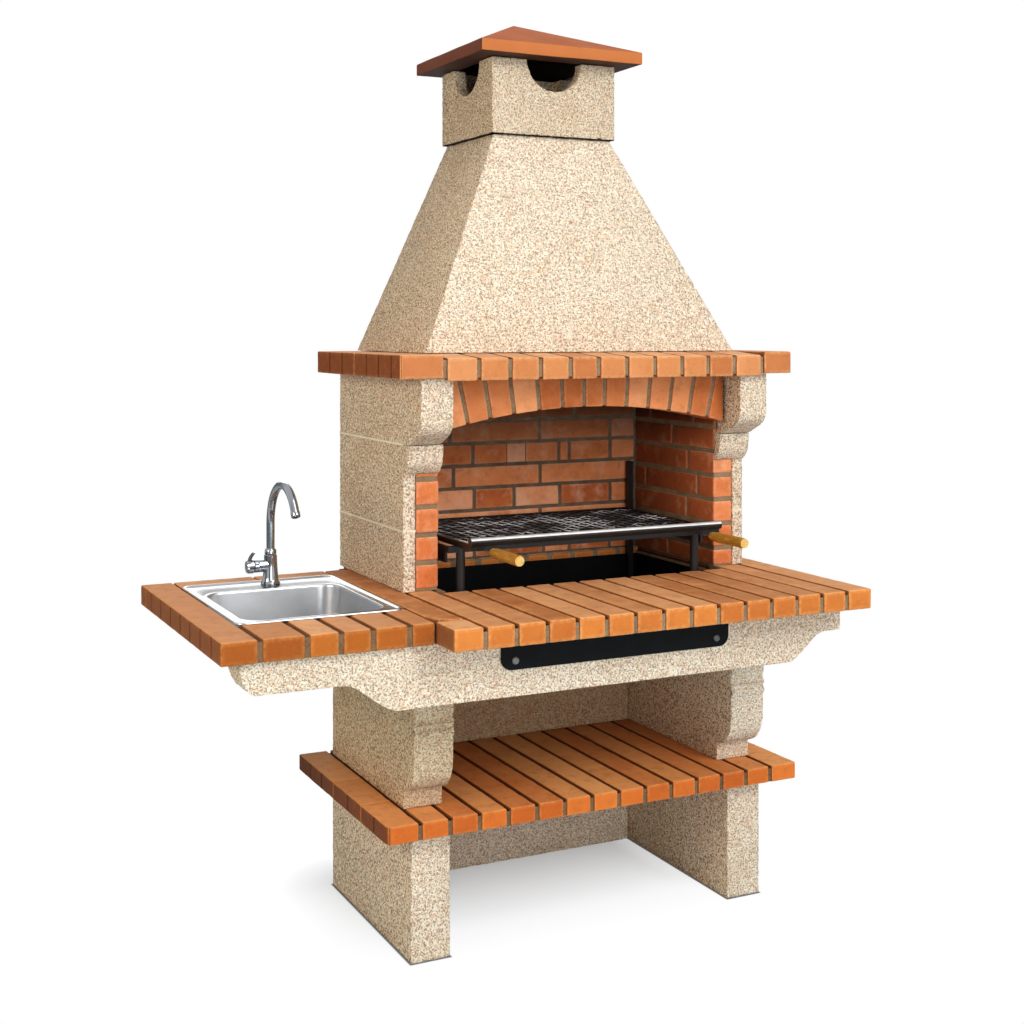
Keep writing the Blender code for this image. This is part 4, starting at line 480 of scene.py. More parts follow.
class Bricks:  # gathers bricks with rounded, chipped arrises into one mesh
    def __init__(self, seed, corner=0.0032, rough=0.0007, sootAndShade=(9.0, 10.0, 0.0)):
        self.random = random.Random(seed)
        self.corner = corner
        self.rough = rough
        self.sootAndShade = sootAndShade  # soot and painted shade start at a height, are thickest at another, and how thick
        self.step = 0.022
        self.points = []
        self.faces = []
        self.marks = {"tone": [], "wear": [], "groove": [], "soot": []}

    def stations(self, size, extra, turn):
        near = [0.0, self.corner * 0.4, self.corner]
        turn = abs(turn)
        if turn > self.corner * 2:
            near += [self.corner + (turn * 1.05 - self.corner) * i / 5 for i in range(1, 6)]
        elif size > self.corner * 7:
            near.append(self.corner * 2.6)
        middle = size - 2 * near[-1]
        count = max(1, round(middle / self.step))
        inner = [near[-1] + middle * i / count for i in range(1, count)]
        places = sorted(near + inner + [size - place for place in near])
        keep = self.corner * 1.1
        for place in extra:
            places = [
                spot for spot in places
                if not keep <= spot <= size - keep or abs(spot - place) > scoring["clear"]
            ]
            places += [place + edge for edge in scoring["edges"]]
        return sorted(places)

    def add(self, x, y, z, tone=None, grooves=None, bend=None, turn=0.0):
        low, high = (Vector(corner) for corner in zip(x, y, z))
        size = high - low
        lines = grooves or {}
        grids = []
        for axis in range(3):
            extra = [line - low[axis] for line in lines.get(axis, ())]
            grids.append(self.stations(size[axis], extra, turn if axis < 2 else 0.0))
        counts = [len(grid) - 1 for grid in grids]
        tone = self.random.random() if tone is None else tone
        known = {}

        def rounded(spot):  # rounds the front's upright corner: the left one, or the right one below zero
            radius = abs(turn)
            inside = (spot.x - low.x - radius) if turn > 0 else (high.x - radius - spot.x)
            deep = spot.y - low.y - radius
            if inside < 0 and deep < 0:
                reach = Vector((inside, deep))
                reach *= max(abs(inside), abs(deep)) / reach.length
                spot.x += (inside - reach.x) * (-1 if turn > 0 else 1)
                spot.y -= deep - reach.y

        def scored(key, place):  # whether the place lies in one of the grooves
            face = lines.get("face")
            if not face or key[face[0]] != (0 if face[1] < 0 else counts[face[0]]):
                return False
            along = place[lines["along"]] + low[lines["along"]]
            close = min(abs(along - line) for line in lines[lines["along"]]) < scoring["half"]
            return close and place.z < size.z - self.corner * 0.5

        def vertex(key):
            if key in known:
                return known[key]
            place = Vector([grids[axis][key[axis]] for axis in range(3)])
            core = Vector([min(max(place[i], self.corner), size[i] - self.corner) for i in range(3)])
            out = (place - core).normalized()
            spot = low + core + out * self.corner
            if turn:
                rounded(spot)
            fromEnds = sorted(min(place[i], size[i] - place[i]) for i in range(3))
            wear = max(0.0, 1.0 - fromEnds[1] / (self.corner * brickWear["reach"]))
            ripple = 0.5 + 0.5 * noise.noise(spot * brickWear["ripples"])
            broken = noise.noise(spot * brickWear["chips"] + brickWear["aside"]) - brickWear["sound"]
            chip = max(0.0, broken) * wear
            spot = spot - out * (self.rough * ripple * (0.6 + wear) + brickWear["chip"] * chip)
            groove = 0.0
            if scored(key, place):
                spot[lines["face"][0]] -= lines["face"][1] * scoring["depth"]
                groove = 1.0
            known[key] = len(self.points)
            self.points.append(bend(spot) if bend else spot)
            start, end, most = self.sootAndShade
            soot = most * min(1.0, max(0.0, (spot.z - start) / (end - start)))
            for mark, value in zip(self.marks.values(), (tone, wear, groove, soot)):
                mark.append(value)
            return known[key]

        for axis in range(3):
            first, second = [other for other in range(3) if other != axis]
            for end in (0, counts[axis]):
                for i in range(counts[first]):
                    for j in range(counts[second]):
                        ring = []
                        for di, dj in ((0, 0), (1, 0), (1, 1), (0, 1)):
                            key = [0, 0, 0]
                            key[axis] = end
                            key[first] = i + di
                            key[second] = j + dj
                            ring.append(vertex(tuple(key)))
                        outward = (end > 0) != (axis == 1)
                        self.faces.append(ring if outward else ring[::-1])

    def build(self, name, look, replaced):
        mesh = skinned(name, (self.points, self.faces), [look])
        for mark, values in self.marks.items():
            mesh.attributes.new(mark, "FLOAT", "POINT").data.foreach_set("value", values)
        adopt(mesh, "masonry", replaced)


class Bed:  # mortar blocks behind the bricks, with a second paint where they face up, mostly a darker one as painted shade in the recessed top joints
    def __init__(self):
        self.points = []
        self.faces = []
        self.slots = []

    def add(self, x, y, z, topSlot=1):
        start = len(self.points)
        base = ((x[0], y[0]), (x[1], y[0]), (x[1], y[1]), (x[0], y[1]))
        self.points += [Vector((*corner, level)) for level in z for corner in base]
        rings = ((3, 2, 1, 0), (4, 5, 6, 7), (0, 1, 5, 4), (1, 2, 6, 5), (2, 3, 7, 6), (3, 0, 4, 7))
        self.faces += [[start + k for k in ring] for ring in rings]
        self.slots += [0, topSlot, 0, 0, 0, 0]

    def build(self, name, side, top, slot):
        mesh = skinned(name, (self.points, self.faces), [side, top], self.slots, smooth=False)
        adopt(mesh, "masonry")


def columnEnds(low, high, count, first=0.0):
    if not first:
        return [low + (high - low) * i / count for i in range(count + 1)]
    step = (high - low - 2 * first) / (count - 2)
    return [low] + [low + first + step * i for i in range(count - 1)] + [high]


def spaced(ends, half):  # each brick's number, start and end, half a joint short of its neighbours
    last = len(ends) - 2
    for i, (start, end) in enumerate(zip(ends, ends[1:])):
        yield i, start + (half if i else 0.0), end - (half if i < last else 0.0)


def scores(joints, front, back, side):  # grooves in an end brick's outer face
    inside = [y for y in joints if front + 0.01 < y < back - 0.01]
    return {1: inside, "face": (0, side), "along": 1} if inside else None


shelf = {
    "bricks": 15, "corner": 0.086, "joint": 0.0095, "groove": 0.008, "turn": (0.020, -0.008),
    "splits": (0.128, 0.334), "sideJoints": (0.037, 0.128, 0.222, 0.334, 0.425, 0.515),
    "give": 0.0015, "gap": 0.0012,
}


def layShelf():
    low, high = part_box("lower_shelf")
    bricks = Bricks(11)
    ends = columnEnds(low.x, high.x, shelf["bricks"], shelf["corner"])
    cuts = [low.y, *rows(shelf["splits"]), high.y]
    for i, near, far in spaced(ends, shelf["joint"] / 2):
        if 0 < i < shelf["bricks"] - 1:
            give = bricks.random.uniform(0.0, shelf["give"])
            bricks.add((near, far), (low.y + give, high.y), (low.z, high.z - give / 2))
            continue
        for front, back in zip(cuts, cuts[1:]):
            grooves = scores(rows(shelf["sideJoints"]), front, back, 1 if i else -1)
            turn = shelf["turn"][1 if i else 0] if front == low.y else 0.0
            y = (front + (shelf["gap"] if front > low.y else 0), back - shelf["gap"])
            bricks.add((near, far), y, (low.z, high.z), grooves=grooves, turn=turn)
    bricks.build("shelfBricks", "shelf", "lower_shelf")
    bed = Bed()
    z = (low.z + bedLift, high.z - shelf["groove"])
    bed.add((low.x + 0.006, high.x - 0.006), (low.y + 0.005, high.y - 0.005), z)
    bed.build("shelfMortar", "wingMortar", "shadedJointTop", "lower_shelf")


counter = {
    "bricks": 15, "joint": 0.0085, "groove": 0.011, "curve": 0.075, "cut": -0.290, "gap": 0.003,
    "give": 0.0020, "sunk": 0.0010, "inset": 0.005, "lap": 0.001,
    "flush": 0.0015, "proud": 0.0016, "under": 0.02,
}


def layMainCounter():
    low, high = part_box("main_counter")
    panLow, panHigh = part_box("ember_pan")
    panLeft, panFront = panLow.x - counter["gap"], panLow.y - counter["gap"]
    panRight, panBack = panHigh.x + counter["gap"], panHigh.y + counter["gap"]
    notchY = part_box("sink_counter")[1].y
    bricks = Bricks(23, corner=0.0044)
    ends = columnEnds(low.x, high.x, counter["bricks"])
    half = counter["joint"] / 2
    cut = frontY + counter["cut"]
    bend = counter["curve"]
    corner = Vector((low.x + bend, cut + counter["gap"] + bend, 0.0))

    def curved(spot):  # the rounded end where the counter steps back to the wing
        side = Vector((spot.x - corner.x, spot.y - corner.y, 0.0))
        if side.x < 0 and side.y < 0:
            side *= max(abs(side.x), abs(side.y)) / side.length
            return Vector((corner.x + side.x, corner.y + side.y, spot.z))
        return spot

    for i, near, far in spaced(ends, half):
        front = low.y + bricks.random.uniform(0.0, counter["give"])
        sunk = bricks.random.uniform(0.0, counter["sunk"])
        beside = ends[i + 1] <= panLeft or ends[i] >= panRight
        if i == 0:
            bricks.add((near, far), (front, cut), (low.z, high.z))
            bricks.add((near, far), (cut + counter["gap"], notchY), (low.z, high.z), bend=curved)
            continue
        bricks.add((near, far), (front, high.y if beside else panFront), (low.z, high.z - sunk))
        if not beside:
            bricks.add((near, far), (panBack, high.y), (low.z, high.z))
    bricks.build("counterBricks", "slab", "main_counter")
    bed = Bed()
    lap, inset = counter["lap"], counter["inset"]
    top = high.z - counter["groove"]
    floor = low.z + bedLift
    left, right = low.x + inset, high.x - inset
    front, back = low.y + inset, high.y - inset
    for x, y in (
        ((left, right), (front, panFront - lap)),
        ((left, panLeft - lap), (panFront - lap, notchY - 2 * lap)),
        ((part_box("left_course_1")[0].x, panLeft - lap), (notchY - 2 * lap, back)),
        ((panRight + lap, right), (panFront - lap, back)),
    ):
        bed.add(x, y, (floor, top))
    z = (floor, high.z - counter["flush"])
    bed.add((panLeft - lap, panRight + lap), (panBack + lap / 2, back), z, 0)
    bed.build("counterMortar", "mortar", "shadedJointTop", "main_counter")
    strip = Bed()
    y = (panFront + lap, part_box("lining_left")[0].y + counter["under"])
    for x in ((ends[2] + half, panLeft - lap / 2), (panRight + lap / 2, ends[13] - half)):
        strip.add(x, y, (top, high.z + counter["proud"]), 0)
    strip.build("jambBed", "mortar", "mortar", "main_counter")


wing = {
    "frontJoints": (-0.978, -0.874, -0.798, -0.724, -0.638), "rearJoint": 0.415,
    "sideJoints": (-0.225, -0.131, -0.039, 0.051, 0.147, 0.246, 0.344),
    "joint": 0.0105, "groove": 0.006, "rim": 0.014, "give": 0.0016, "gap": 0.001, "short": 0.004,
}


def laySinkCounter():
    low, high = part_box("sink_counter")
    sinkLow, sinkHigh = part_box("sink_bowl")
    openLeft, openFront = sinkLow.x + wing["rim"], sinkLow.y + wing["rim"]
    openRight, rear = sinkHigh.x - wing["rim"], sinkHigh.y - wing["rim"] + 0.001
    bricks = Bricks(37, corner=0.0044)
    z = (low.z, high.z)
    half = wing["joint"] / 2
    gap = wing["gap"]
    ends = [low.x, *columns(wing["frontJoints"]), high.x - wing["short"]]
    side = ends[1] - half
    rearCut = frontY + wing["rearJoint"]
    grooves = {1: rows(wing["sideJoints"]), "face": (0, -1), "along": 1}
    bricks.add((low.x, side), (low.y, rearCut - 0.0015), z, tone=0.20, grooves=grooves)
    bricks.add((low.x, side), (rearCut + 0.0015, high.y), z, tone=0.15)
    for i, near, far in spaced(ends, half):
        if i:
            front = low.y + bricks.random.uniform(0.0, wing["give"])
            bricks.add((near, far), (front, openFront - gap), z)
    middle = (openLeft + high.x) / 2
    bricks.add((side + 2 * gap, middle - gap), (rear, high.y), z)
    bricks.add((middle + gap, high.x - gap), (rear, high.y), z)
    bricks.add((openRight + gap, ends[-1]), (openFront + 2 * gap, rear - 2 * gap), z, tone=0.8)
    bricks.build("sinkCounterBricks", "wing", "sink_counter")
    bed = Bed()
    z = (low.z + bedLift, high.z - wing["groove"])
    bed.add((side - 2 * gap, high.x - 0.006), (low.y + 0.005, openFront - 2 * gap), z)
    bed.build("sinkCounterMortar", "wingMortar", "shadedWingMortar", "sink_counter")


ledge = {
    "frontJoints": (-0.453, -0.363, -0.278, -0.194, -0.110, -0.029, 0.054, 0.138, 0.221, 0.302, 0.386, 0.475),
    "sideJoints": (-0.011, 0.073, 0.158, 0.247, 0.337, 0.434),
    "joint": 0.0095, "groove": 0.008, "frontDepth": 0.195, "rearDepth": 0.070, "turn": 0.009,
    "tip": 0.009, "tipFrom": 0.050, "droop": 0.006, "droopFrom": -0.047,
    "flue": (-0.370, 0.370), "flueBack": 0.465, "give": 0.0018, "gap": 0.001,
}


def layMantel():
    low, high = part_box("mantel")
    bricks = Bricks(41, corner=0.0038)
    z = (low.z, high.z)
    ends = [low.x, *columns(ledge["frontJoints"]), high.x]
    rear = low.y + ledge["frontDepth"]
    sideJoints = rows(ledge["sideJoints"])
    middle = sideJoints[3]

    def tipped(spot):  # the bricks tip forward, and hang a little in front of the corbels
        tipFrom, droopFrom = rows((ledge["tipFrom"], ledge["droopFrom"]))
        upper = (spot.z - low.z) / (high.z - low.z)
        top = max(0.0, tipFrom - spot.y) / (tipFrom - low.y)
        hang = min(1.0, max(0.0, droopFrom - spot.y) / 0.004)
        sunk = ledge["tip"] * top * upper + ledge["droop"] * hang * (1 - upper)
        return Vector((spot.x, spot.y, spot.z - sunk))

    for i, near, far in spaced(ends, ledge["joint"] / 2):
        if 0 < i < len(ends) - 2:
            front = low.y + bricks.random.uniform(0.0, ledge["give"])
            bricks.add((near, far), (front, rear), z, bend=tipped)
            bricks.add((near, far), (high.y - ledge["rearDepth"], high.y), z)
            continue
        for front, back in ((low.y, middle), (middle, high.y)):
            grooves = scores(sideJoints, front, back, 1 if i else -1)
            turn = ledge["turn"] * (-1 if i else 1) if front == low.y else 0.0
            y = (front + (ledge["gap"] if front > low.y else 0), back - ledge["gap"])
            bricks.add((near, far), y, z, grooves=grooves, turn=turn)
    bricks.build("mantelBricks", "mantel", "mantel")
    bed = Bed()
    top = high.z - ledge["groove"]
    floor = low.z + bedLift
    flueLeft, flueRight = columns(ledge["flue"])
    flueBack = frontY + ledge["flueBack"]
    inner = (low.x + 0.006, high.x - 0.006)
    bed.add((ends[1] - 0.004, ends[-2] + 0.004), (low.y + 0.006, rear), (floor, top - ledge["tip"] * 0.6))
    bed.add((inner[0], flueLeft), (low.y + 0.1, flueBack), (floor, top))
    bed.add((flueRight, inner[1]), (low.y + 0.1, flueBack), (floor, top))
    bed.add(inner, (flueBack, high.y - 0.005), (floor, top))
    bed.build("mantelMortar", "mortar", "shadedJointTop", "mantel")


firebox = {
    "joint": 0.009, "jambJoint": 0.0108, "depth": 0.0045, "sill": 0.896, "rows": 9, "give": 0.0014,
    "beds": {"left": (0.8225, 0.0693), "right": (0.8735, 0.0666), "back": (0.8375, 0.0635)},
    "back": (
        (), (-0.125, 0.096, 0.181, 0.317), (-0.29, 0.085),
        (-0.125, 0.001, 0.150, 0.319), (-0.19, 0.085), (-0.130, -0.023, 0.038, 0.146, 0.181, 0.319),
        (-0.20, 0.083, 0.318), (-0.30, -0.05, 0.20), (-0.18, 0.10, 0.34),
    ),
    "side": (
        (0.30,), (0.17, 0.38), (0.204,), (0.150, 0.424), (0.199,), (0.280,), (0.17, 0.40), (0.28,), (0.20,),
    ),
    # soot with painted shade high in the firebox: where it starts, where it is thickest, how dark
    "patch": (-0.023, 0.038), "sootAndShade": (1.215, 1.320, 0.90), "sootAndShadeBack": (1.130, 1.335, 0.96),
}


def bedLevels(name, low, high):  # each row's bottom and top, between its mortar beds
    start, pitch = firebox["beds"][name]
    levels = []
    joint = firebox["joint" if name == "back" else "jambJoint"] / 2
    for row in range(firebox["rows"]):
        base = max(start + pitch * row + joint, low.z + 0.003)
        if name == "back" and row == 1:
            base = firebox["sill"]
        top = min(start + pitch * (row + 1) - joint, high.z - 0.001)
        levels.append((base, top) if top - base > 0.012 else None)
    return levels


def layLinings():
    joint = firebox["joint"]
    depth = firebox["depth"]
    for name, side in (("left", -1), ("right", 1)):
        low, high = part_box("lining_" + name)
        bricks = Bricks(53 + side, corner=0.0048, rough=0.0006, sootAndShade=firebox["sootAndShade"])
        for levels, cuts in zip(bedLevels(name, low, high), firebox["side"]):
            ends = [low.y, *rows(cuts), high.y] if levels else []
            for k, (front, back) in enumerate(zip(ends, ends[1:])):
                give = bricks.random.uniform(0.0, firebox["give"])
                x = [low.x, high.x]
                x[0 if side > 0 else 1] += side * give
                near = front + (joint / 2 if k else give)
                tone = bricks.random.uniform(0.25, 0.75)
                bricks.add(x, (near, back - joint / 2), levels, tone=tone)
        bricks.build("liningBricks_" + name, "lining", "lining_" + name)
        bed = Bed()
        x = (low.x + 0.001, high.x - depth) if side < 0 else (low.x + depth, high.x - 0.001)
        bed.add(x, (low.y + depth, high.y - 0.001), (low.z, high.z), 0)
        bed.build("liningMortar_" + name, "jambMortar", "jambMortar", "lining_" + name)
    low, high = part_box("lining_back")
    bricks = Bricks(59, corner=0.0028, rough=0.0006, sootAndShade=firebox["sootAndShadeBack"])
    tight = columns(firebox["patch"])
    for levels, cuts in zip(bedLevels("back", low, high), firebox["back"]):
        ends = [low.x, *columns(cuts), high.x] if levels else []
        for k, (left, right) in enumerate(zip(ends, ends[1:])):
            give = bricks.random.uniform(0.0, firebox["give"])
            near = left + (0.0005 if left in tight else joint / 2 if k else joint)
            far = right - (0.0005 if right in tight else joint / 2 if k < len(cuts) else joint)
            tone = 1.0 if left == tight[0] else None
            bricks.add((near, far), (low.y + give, high.y), levels, tone=tone)
    bricks.build("liningBricks_back", "hearth", "lining_back")
    bed = Bed()
    bed.add((low.x + 0.001, high.x - 0.001), (low.y + depth, high.y - 0.001), (low.z, high.z), 0)
    bed.build("liningMortar_back", "liningMortar", "liningMortar", "lining_back")


archWork = {
    "joints": (-0.351, -0.288, -0.222, -0.150, -0.083, -0.020, 0.040, 0.106, 0.172, 0.238, 0.300, 0.359),
    "rise": 0.050, "joint": 0.0095, "depth": 0.0045, "steps": 36, "height": 0.10, "give": 0.0012,
}


def layArch():
    low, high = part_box("arch")
    half = (high.x - low.x) / 2
    rise = archWork["rise"]
    radius = (half ** 2 + rise ** 2) / (2 * rise)
    crown = low.z + rise
    centerZ = crown - radius
    spread = math.asin(half / radius)
    nominal = archWork["height"]

    def bent(spot):  # lays a straight row of bricks round the arch, up to its level top
        angle = spot.x / radius
        share = spot.z / nominal
        ceiling = (high.z - centerZ) / math.cos(angle)
        reach = radius + (ceiling - radius) * share
        x = middleX + reach * math.sin(angle)
        return Vector((min(max(x, low.x), high.x), spot.y, centerZ + reach * math.cos(angle)))

    angles = [-spread] + [math.asin(x / radius) for x in archWork["joints"]] + [spread]
    bricks = Bricks(67, corner=0.0028)
    for _, near, far in spaced([angle * radius for angle in angles], archWork["joint"] / 2):
        give = bricks.random.uniform(0.0, archWork["give"])
        bricks.add((near, far), (low.y + give, high.y - 0.0005), (0.0005, nominal), bend=bent)
    bricks.build("archBricks", "arch", "arch")
    points = []
    faces = []
    steps = archWork["steps"]
    for y in (low.y + archWork["depth"], high.y - 0.003):
        for share in (0.05, 0.995):
            for i in range(steps + 1):
                angle = -spread + 2 * spread * i / steps
                points.append(bent(Vector((angle * radius, y, nominal * share))))
    row = steps + 1
    for i in range(steps):
        for a, b in ((0, 1), (1, 3), (3, 2), (2, 0)):
            faces.append([a * row + i, a * row + i + 1, b * row + i + 1, b * row + i])
    faces.append([0, row, 3 * row, 2 * row])
    faces.append([steps, 2 * row + steps, 3 * row + steps, row + steps])
    adopt(skinned("archMortar", (points, faces), ["mortar"], smooth=False), "masonry")


layShelf()
layMainCounter()
laySinkCounter()
layMantel()
layLinings()
layArch()
print("bricks laid")

# Stone

stonework = {
    "weld": 0.00005, "flat": 1.0, "sharp": 28, "crease": 40, "arris": 0.0042, "step": 0.011, "rounds": 7,
    "ripples": ((150.0, 0.6), (60.0, 0.4)), "ragged": 0.0020, "grit": 0.35,
    "joint": 0.0052, "seam": 0.0016, "seamDepth": 0.02,
    # blocks that take a darker copy of the stone, as painted shade
    "washed": {
        "chimney_neck": "shadedNeckStone", "pedestal_left": "shadedStone", "back_panel_upper": "shadedPanelStone",
    },
    "flues": {"hood": (0.030, 0.04), "chimney_neck": (0.007, 0.001)},
}
stoneNodes = [
    "foot_left", "foot_right", "pedestal_left", "pedestal_right", "back_panel_lower", "back_panel_upper",
    "counter_trough", *(side + "_course_%d" % row for side in ("left", "right", "back") for row in (1, 2, 3)),
    "hood", "chimney_neck",
]
bead = {  # the front's setback: the solid's at its bead, and the finished one's at each level
    "solid": (0.006, 0.208, 0.222, 0.003),
    "finished": (
        (0.165, 0.0060), (0.185, 0.0075), (0.191, 0.0048), (0.195, 0.0014), (0.199, 0.0002), (0.203, 0.0012),
        (0.207, 0.0046), (0.211, 0.0086), (0.215, 0.0072), (0.219, 0.0030), (0.223, 0.0010), (0.227, 0.0028),
        (0.231, 0.0066), (0.238, 0.0078), (0.250, 0.0060),
    ),
    "fade": (0.012, 0.050),
}


def solidSetback(height, back):
    base, start, end, head = bead["solid"]
    half = (end - start) / 2
    away = abs(height - start - half) / half
    if away < 1:
        return base - base * math.sqrt(1 - away * away)
    below = height < end - 0.0002 or (height < end + 0.0002 and back > 0.0045)
    return base if below else head


def carveBead(shell, low):  # works the bead and its two grooves into the front
    start, end = bead["fade"]
    for point in shell.verts:
        height = point.co.z - low.z
        back = point.co.y - low.y
        for (below, near), (above, far) in zip(bead["finished"], bead["finished"][1:]):
            if below <= height <= above:
                wanted = near + (far - near) * ((height - below) / (above - below))
                share = min(1.0, max(0.0, (end - back) / (end - start)))
                point.co.y += (wanted - solidSetback(height, back)) * share
                break


def castStone(node):
    shell = bmesh.new()
    shell.from_mesh(nodes[node].data)
    flat = math.radians(stonework["flat"])
    bmesh.ops.remove_doubles(shell, verts=shell.verts, dist=stonework["weld"])
    bmesh.ops.dissolve_limit(shell, angle_limit=flat, verts=shell.verts, edges=shell.edges)
    low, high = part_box(node)
    levels = [level for level, _ in bead["finished"]] if "pedestal" in node else []

    def crisp(edge):  # an edge that isn't worn: one between two blocks, or one in the bead
        heights = [point.co.z for point in edge.verts]
        onBed = any(all(abs(z - bed) < 0.001 for z in heights) for bed in (low.z, high.z))
        inBead = levels and all(levels[0] < z - low.z < levels[-1] for z in heights)
        return ("course" in node and onBed) or inBead

    angle = math.radians(stonework["sharp"])
    sharp = [edge for edge in shell.edges if len(edge.link_faces) == 2 and edge.calc_face_angle(0.0) > angle]
    worn = [edge for edge in sharp if not crisp(edge)]
    bmesh.ops.bevel(shell, geom=worn, offset=stonework["arris"], offset_type="OFFSET",
                    segments=2, profile=0.6, affect="EDGES", clamp_overlap=True)
    for level in levels:
        everything = shell.verts[:] + shell.edges[:] + shell.faces[:]
        cut = (0.0, 0.0, low.z + level)
        bmesh.ops.bisect_plane(shell, geom=everything, plane_co=cut, plane_no=(0.0, 0.0, 1.0))
    for _ in range(stonework["rounds"]):
        long = [edge for edge in shell.edges if edge.calc_length() > stonework["step"]]
        if not long:
            break
        bmesh.ops.subdivide_edges(shell, edges=long, cuts=1, use_grid_fill=False, use_single_edge=False)
    if levels:
        carveBead(shell, low)
    shell.normal_update()
    moves = []
    for point in shell.verts:
        ripple = sum(noise.noise(point.co * scale) * share for scale, share in stonework["ripples"])
        moves.append(point.normal * (-stonework["ragged"] * max(0.0, stonework["grit"] + ripple)))
    for point, move in zip(shell.verts, moves):
        point.co += move
    if node in stonework["flues"]:  # sooty inside
        wall, lip = stonework["flues"][node]
        middle = middleOf((low, high))
        for face in shell.faces:
            center = face.calc_center_median()
            inward = (center.x - middle.x) * face.normal.x + (center.y - middle.y) * face.normal.y < -0.004
            hidden = low.x + wall < center.x < high.x - wall and low.y + wall < center.y < high.y - wall
            level = node == "chimney_neck" or abs(face.normal.z) > 0.5
            face.material_index = 1 if inward or (hidden and level and center.z < high.z - lip) else 0
    mesh = bpy.data.meshes.new(node + "Cast")
    shell.to_mesh(mesh)
    shell.free()
    mesh.materials.clear()
    for look in (stonework["washed"].get(node, "stone"), "flueSoot"):
        mesh.materials.append(paints[look])
    mesh.shade_smooth()
    mesh.set_sharp_from_angle(angle=math.radians(stonework["crease"]))
    adopt(mesh, "masonry", node)


def pointCourses():  # a thin pale line of mortar between the wall's blocks
    half = stonework["joint"] / 2
    for side in ("left", "right"):
        for row in (2, 3):
            node = side + "_course_%d" % row
            low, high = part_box(node)
            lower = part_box(side + "_course_%d" % (row - 1))
            x = (max(low.x, lower[0].x) + 0.0001, min(high.x, lower[1].x) - 0.0001)
            front = max(low.y, lower[0].y) if row == 2 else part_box(side + "_course_1")[0].y
            bed = Bed()
            bed.add(x, (front + 0.0006, high.y - 0.0004), (low.z - half, low.z + half), 0)
            bed.build("courseLine_%s_%d" % (side, row), "pointing", "pointing", node)


def seamUnderNeck():  # the shadowed joint between the hood and the chimney's neck
    low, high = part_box("chimney_neck")
    inset = stonework["seam"]
    depth = stonework["seamDepth"]
    x0, x1, y0, y1 = low.x + inset, high.x - inset, low.y + inset, high.y - inset
    z = (low.z - 0.0002, low.z + stonework["arris"])
    seam = Bed()
    for y in ((y0, y0 + depth), (y1 - depth, y1)):
        seam.add((x0, x1), y, z, 0)
    for x in ((x0, x0 + depth), (x1 - depth, x1)):
        seam.add(x, (y0, y1), z, 0)
    seam.build("neckSeam", "shadedJointTop", "shadedJointTop", "chimney_neck")


for node in stoneNodes:
    castStone(node)
pointCourses()
seamUnderNeck()
print("stone cast")

# Metal, wood and tile


def loft(rings, closedEnds=True):  # joins rings of points into a skin
    count = len(rings[0])
    points = [point for ring in rings for point in ring]
    faces = []
    for a in range(len(rings) - 1):
        b = a + 1
        for i in range(count):
            j = (i + 1) % count
            faces.append([a * count + i, a * count + j, b * count + j, b * count + i])
    if closedEnds:
        faces.append(list(range(count))[::-1])
        faces.append([(len(rings) - 1) * count + i for i in range(count)])
    return points, faces


def merged(*skins):
    points = []
    faces = []
    for morePoints, moreFaces in skins:
        start = len(points)
        points += morePoints
        faces += [[start + i for i in face] for face in moreFaces]
    return points, faces


capWork = {
    "round": 0.004, "steps": 3, "fascia": 0.035, "shell": 0.030, "seat": 0.074, "crown": (-0.025, 0.035),
    "rise": (0.12, 0.3, 0.5, 0.7, 0.86, 0.96, 0.995), "inside": (0.0, 0.3, 0.6, 0.9, 0.99), "places": 24,
}


def squareRing(low, high, setback, level):
    x0, x1, y0, y1 = low.x + setback, high.x - setback, low.y + setback, high.y - setback
    ring = []
    corners = ((x0, y0), (x1, y0), (x1, y1), (x0, y1))
    for (ax, ay), (bx, by) in zip(corners, corners[1:] + corners[:1]):
        for i in range(capWork["places"]):
            share = i / capWork["places"]
            spot = Vector((ax + (bx - ax) * share, ay + (by - ay) * share, level))
            spot.z += noise.noise(spot * 9.0) * 0.0012
            ring.append(spot)
    return ring


def layCap():
    low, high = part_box("roof_cap")
    base = low.z + 0.0012
    fascia = low.z + capWork["fascia"]
    lip = capWork["round"]
    turns = [math.pi / 2 * i / capWork["steps"] for i in range(capWork["steps"] + 1)]
    levels = [(capWork["seat"], low.z + 0.0014), (0.004, base)]
    levels += [(lip * (1 - math.sin(turn)) * 0.5, base + lip * 0.5 * (1 - math.cos(turn))) for turn in turns]
    levels += [(lip * (1 - math.cos(turn)), fascia - lip * (1 - math.sin(turn))) for turn in turns]
    rings = [squareRing(low, high, setback, level) for setback, level in levels]
    aside, behind = capWork["crown"]
    middle = middleOf((low, high))
    crown = Vector((middle.x + aside, middle.y + behind, high.z - 0.0008))
    brim = rings[-1]
    for share in capWork["rise"]:
        rings.append([point.lerp(crown, share) for point in brim])
    hollow = Vector((crown.x, crown.y, high.z - capWork["shell"]))
    under = [[point.lerp(hollow, share) for point in rings[0]] for share in capWork["inside"]]
    upper, lower = loft(rings, closedEnds=False), loft(under, closedEnds=False)
    points, faces = merged(upper, lower)
    count = len(brim)
    for last in (len(rings) * count, len(points)):
        faces.append([last - count + i for i in range(count)])
    slots = [0] * len(upper[1]) + [1] * len(lower[1]) + [0, 1]
    mesh = skinned("roofCapTile", (points, faces), ["tile", "flueSoot"], slots, crease=30.0)
    adopt(mesh, "masonry", "roof_cap")


grateWork = {
    "bars": 25, "bar": 0.0052, "wires": 19, "wire": 0.0023, "sides": 6,
    "wave": 0.0022, "drift": 0.0055, "sway": 0.0012, "lift": 0.0006, "play": 0.0004,
}


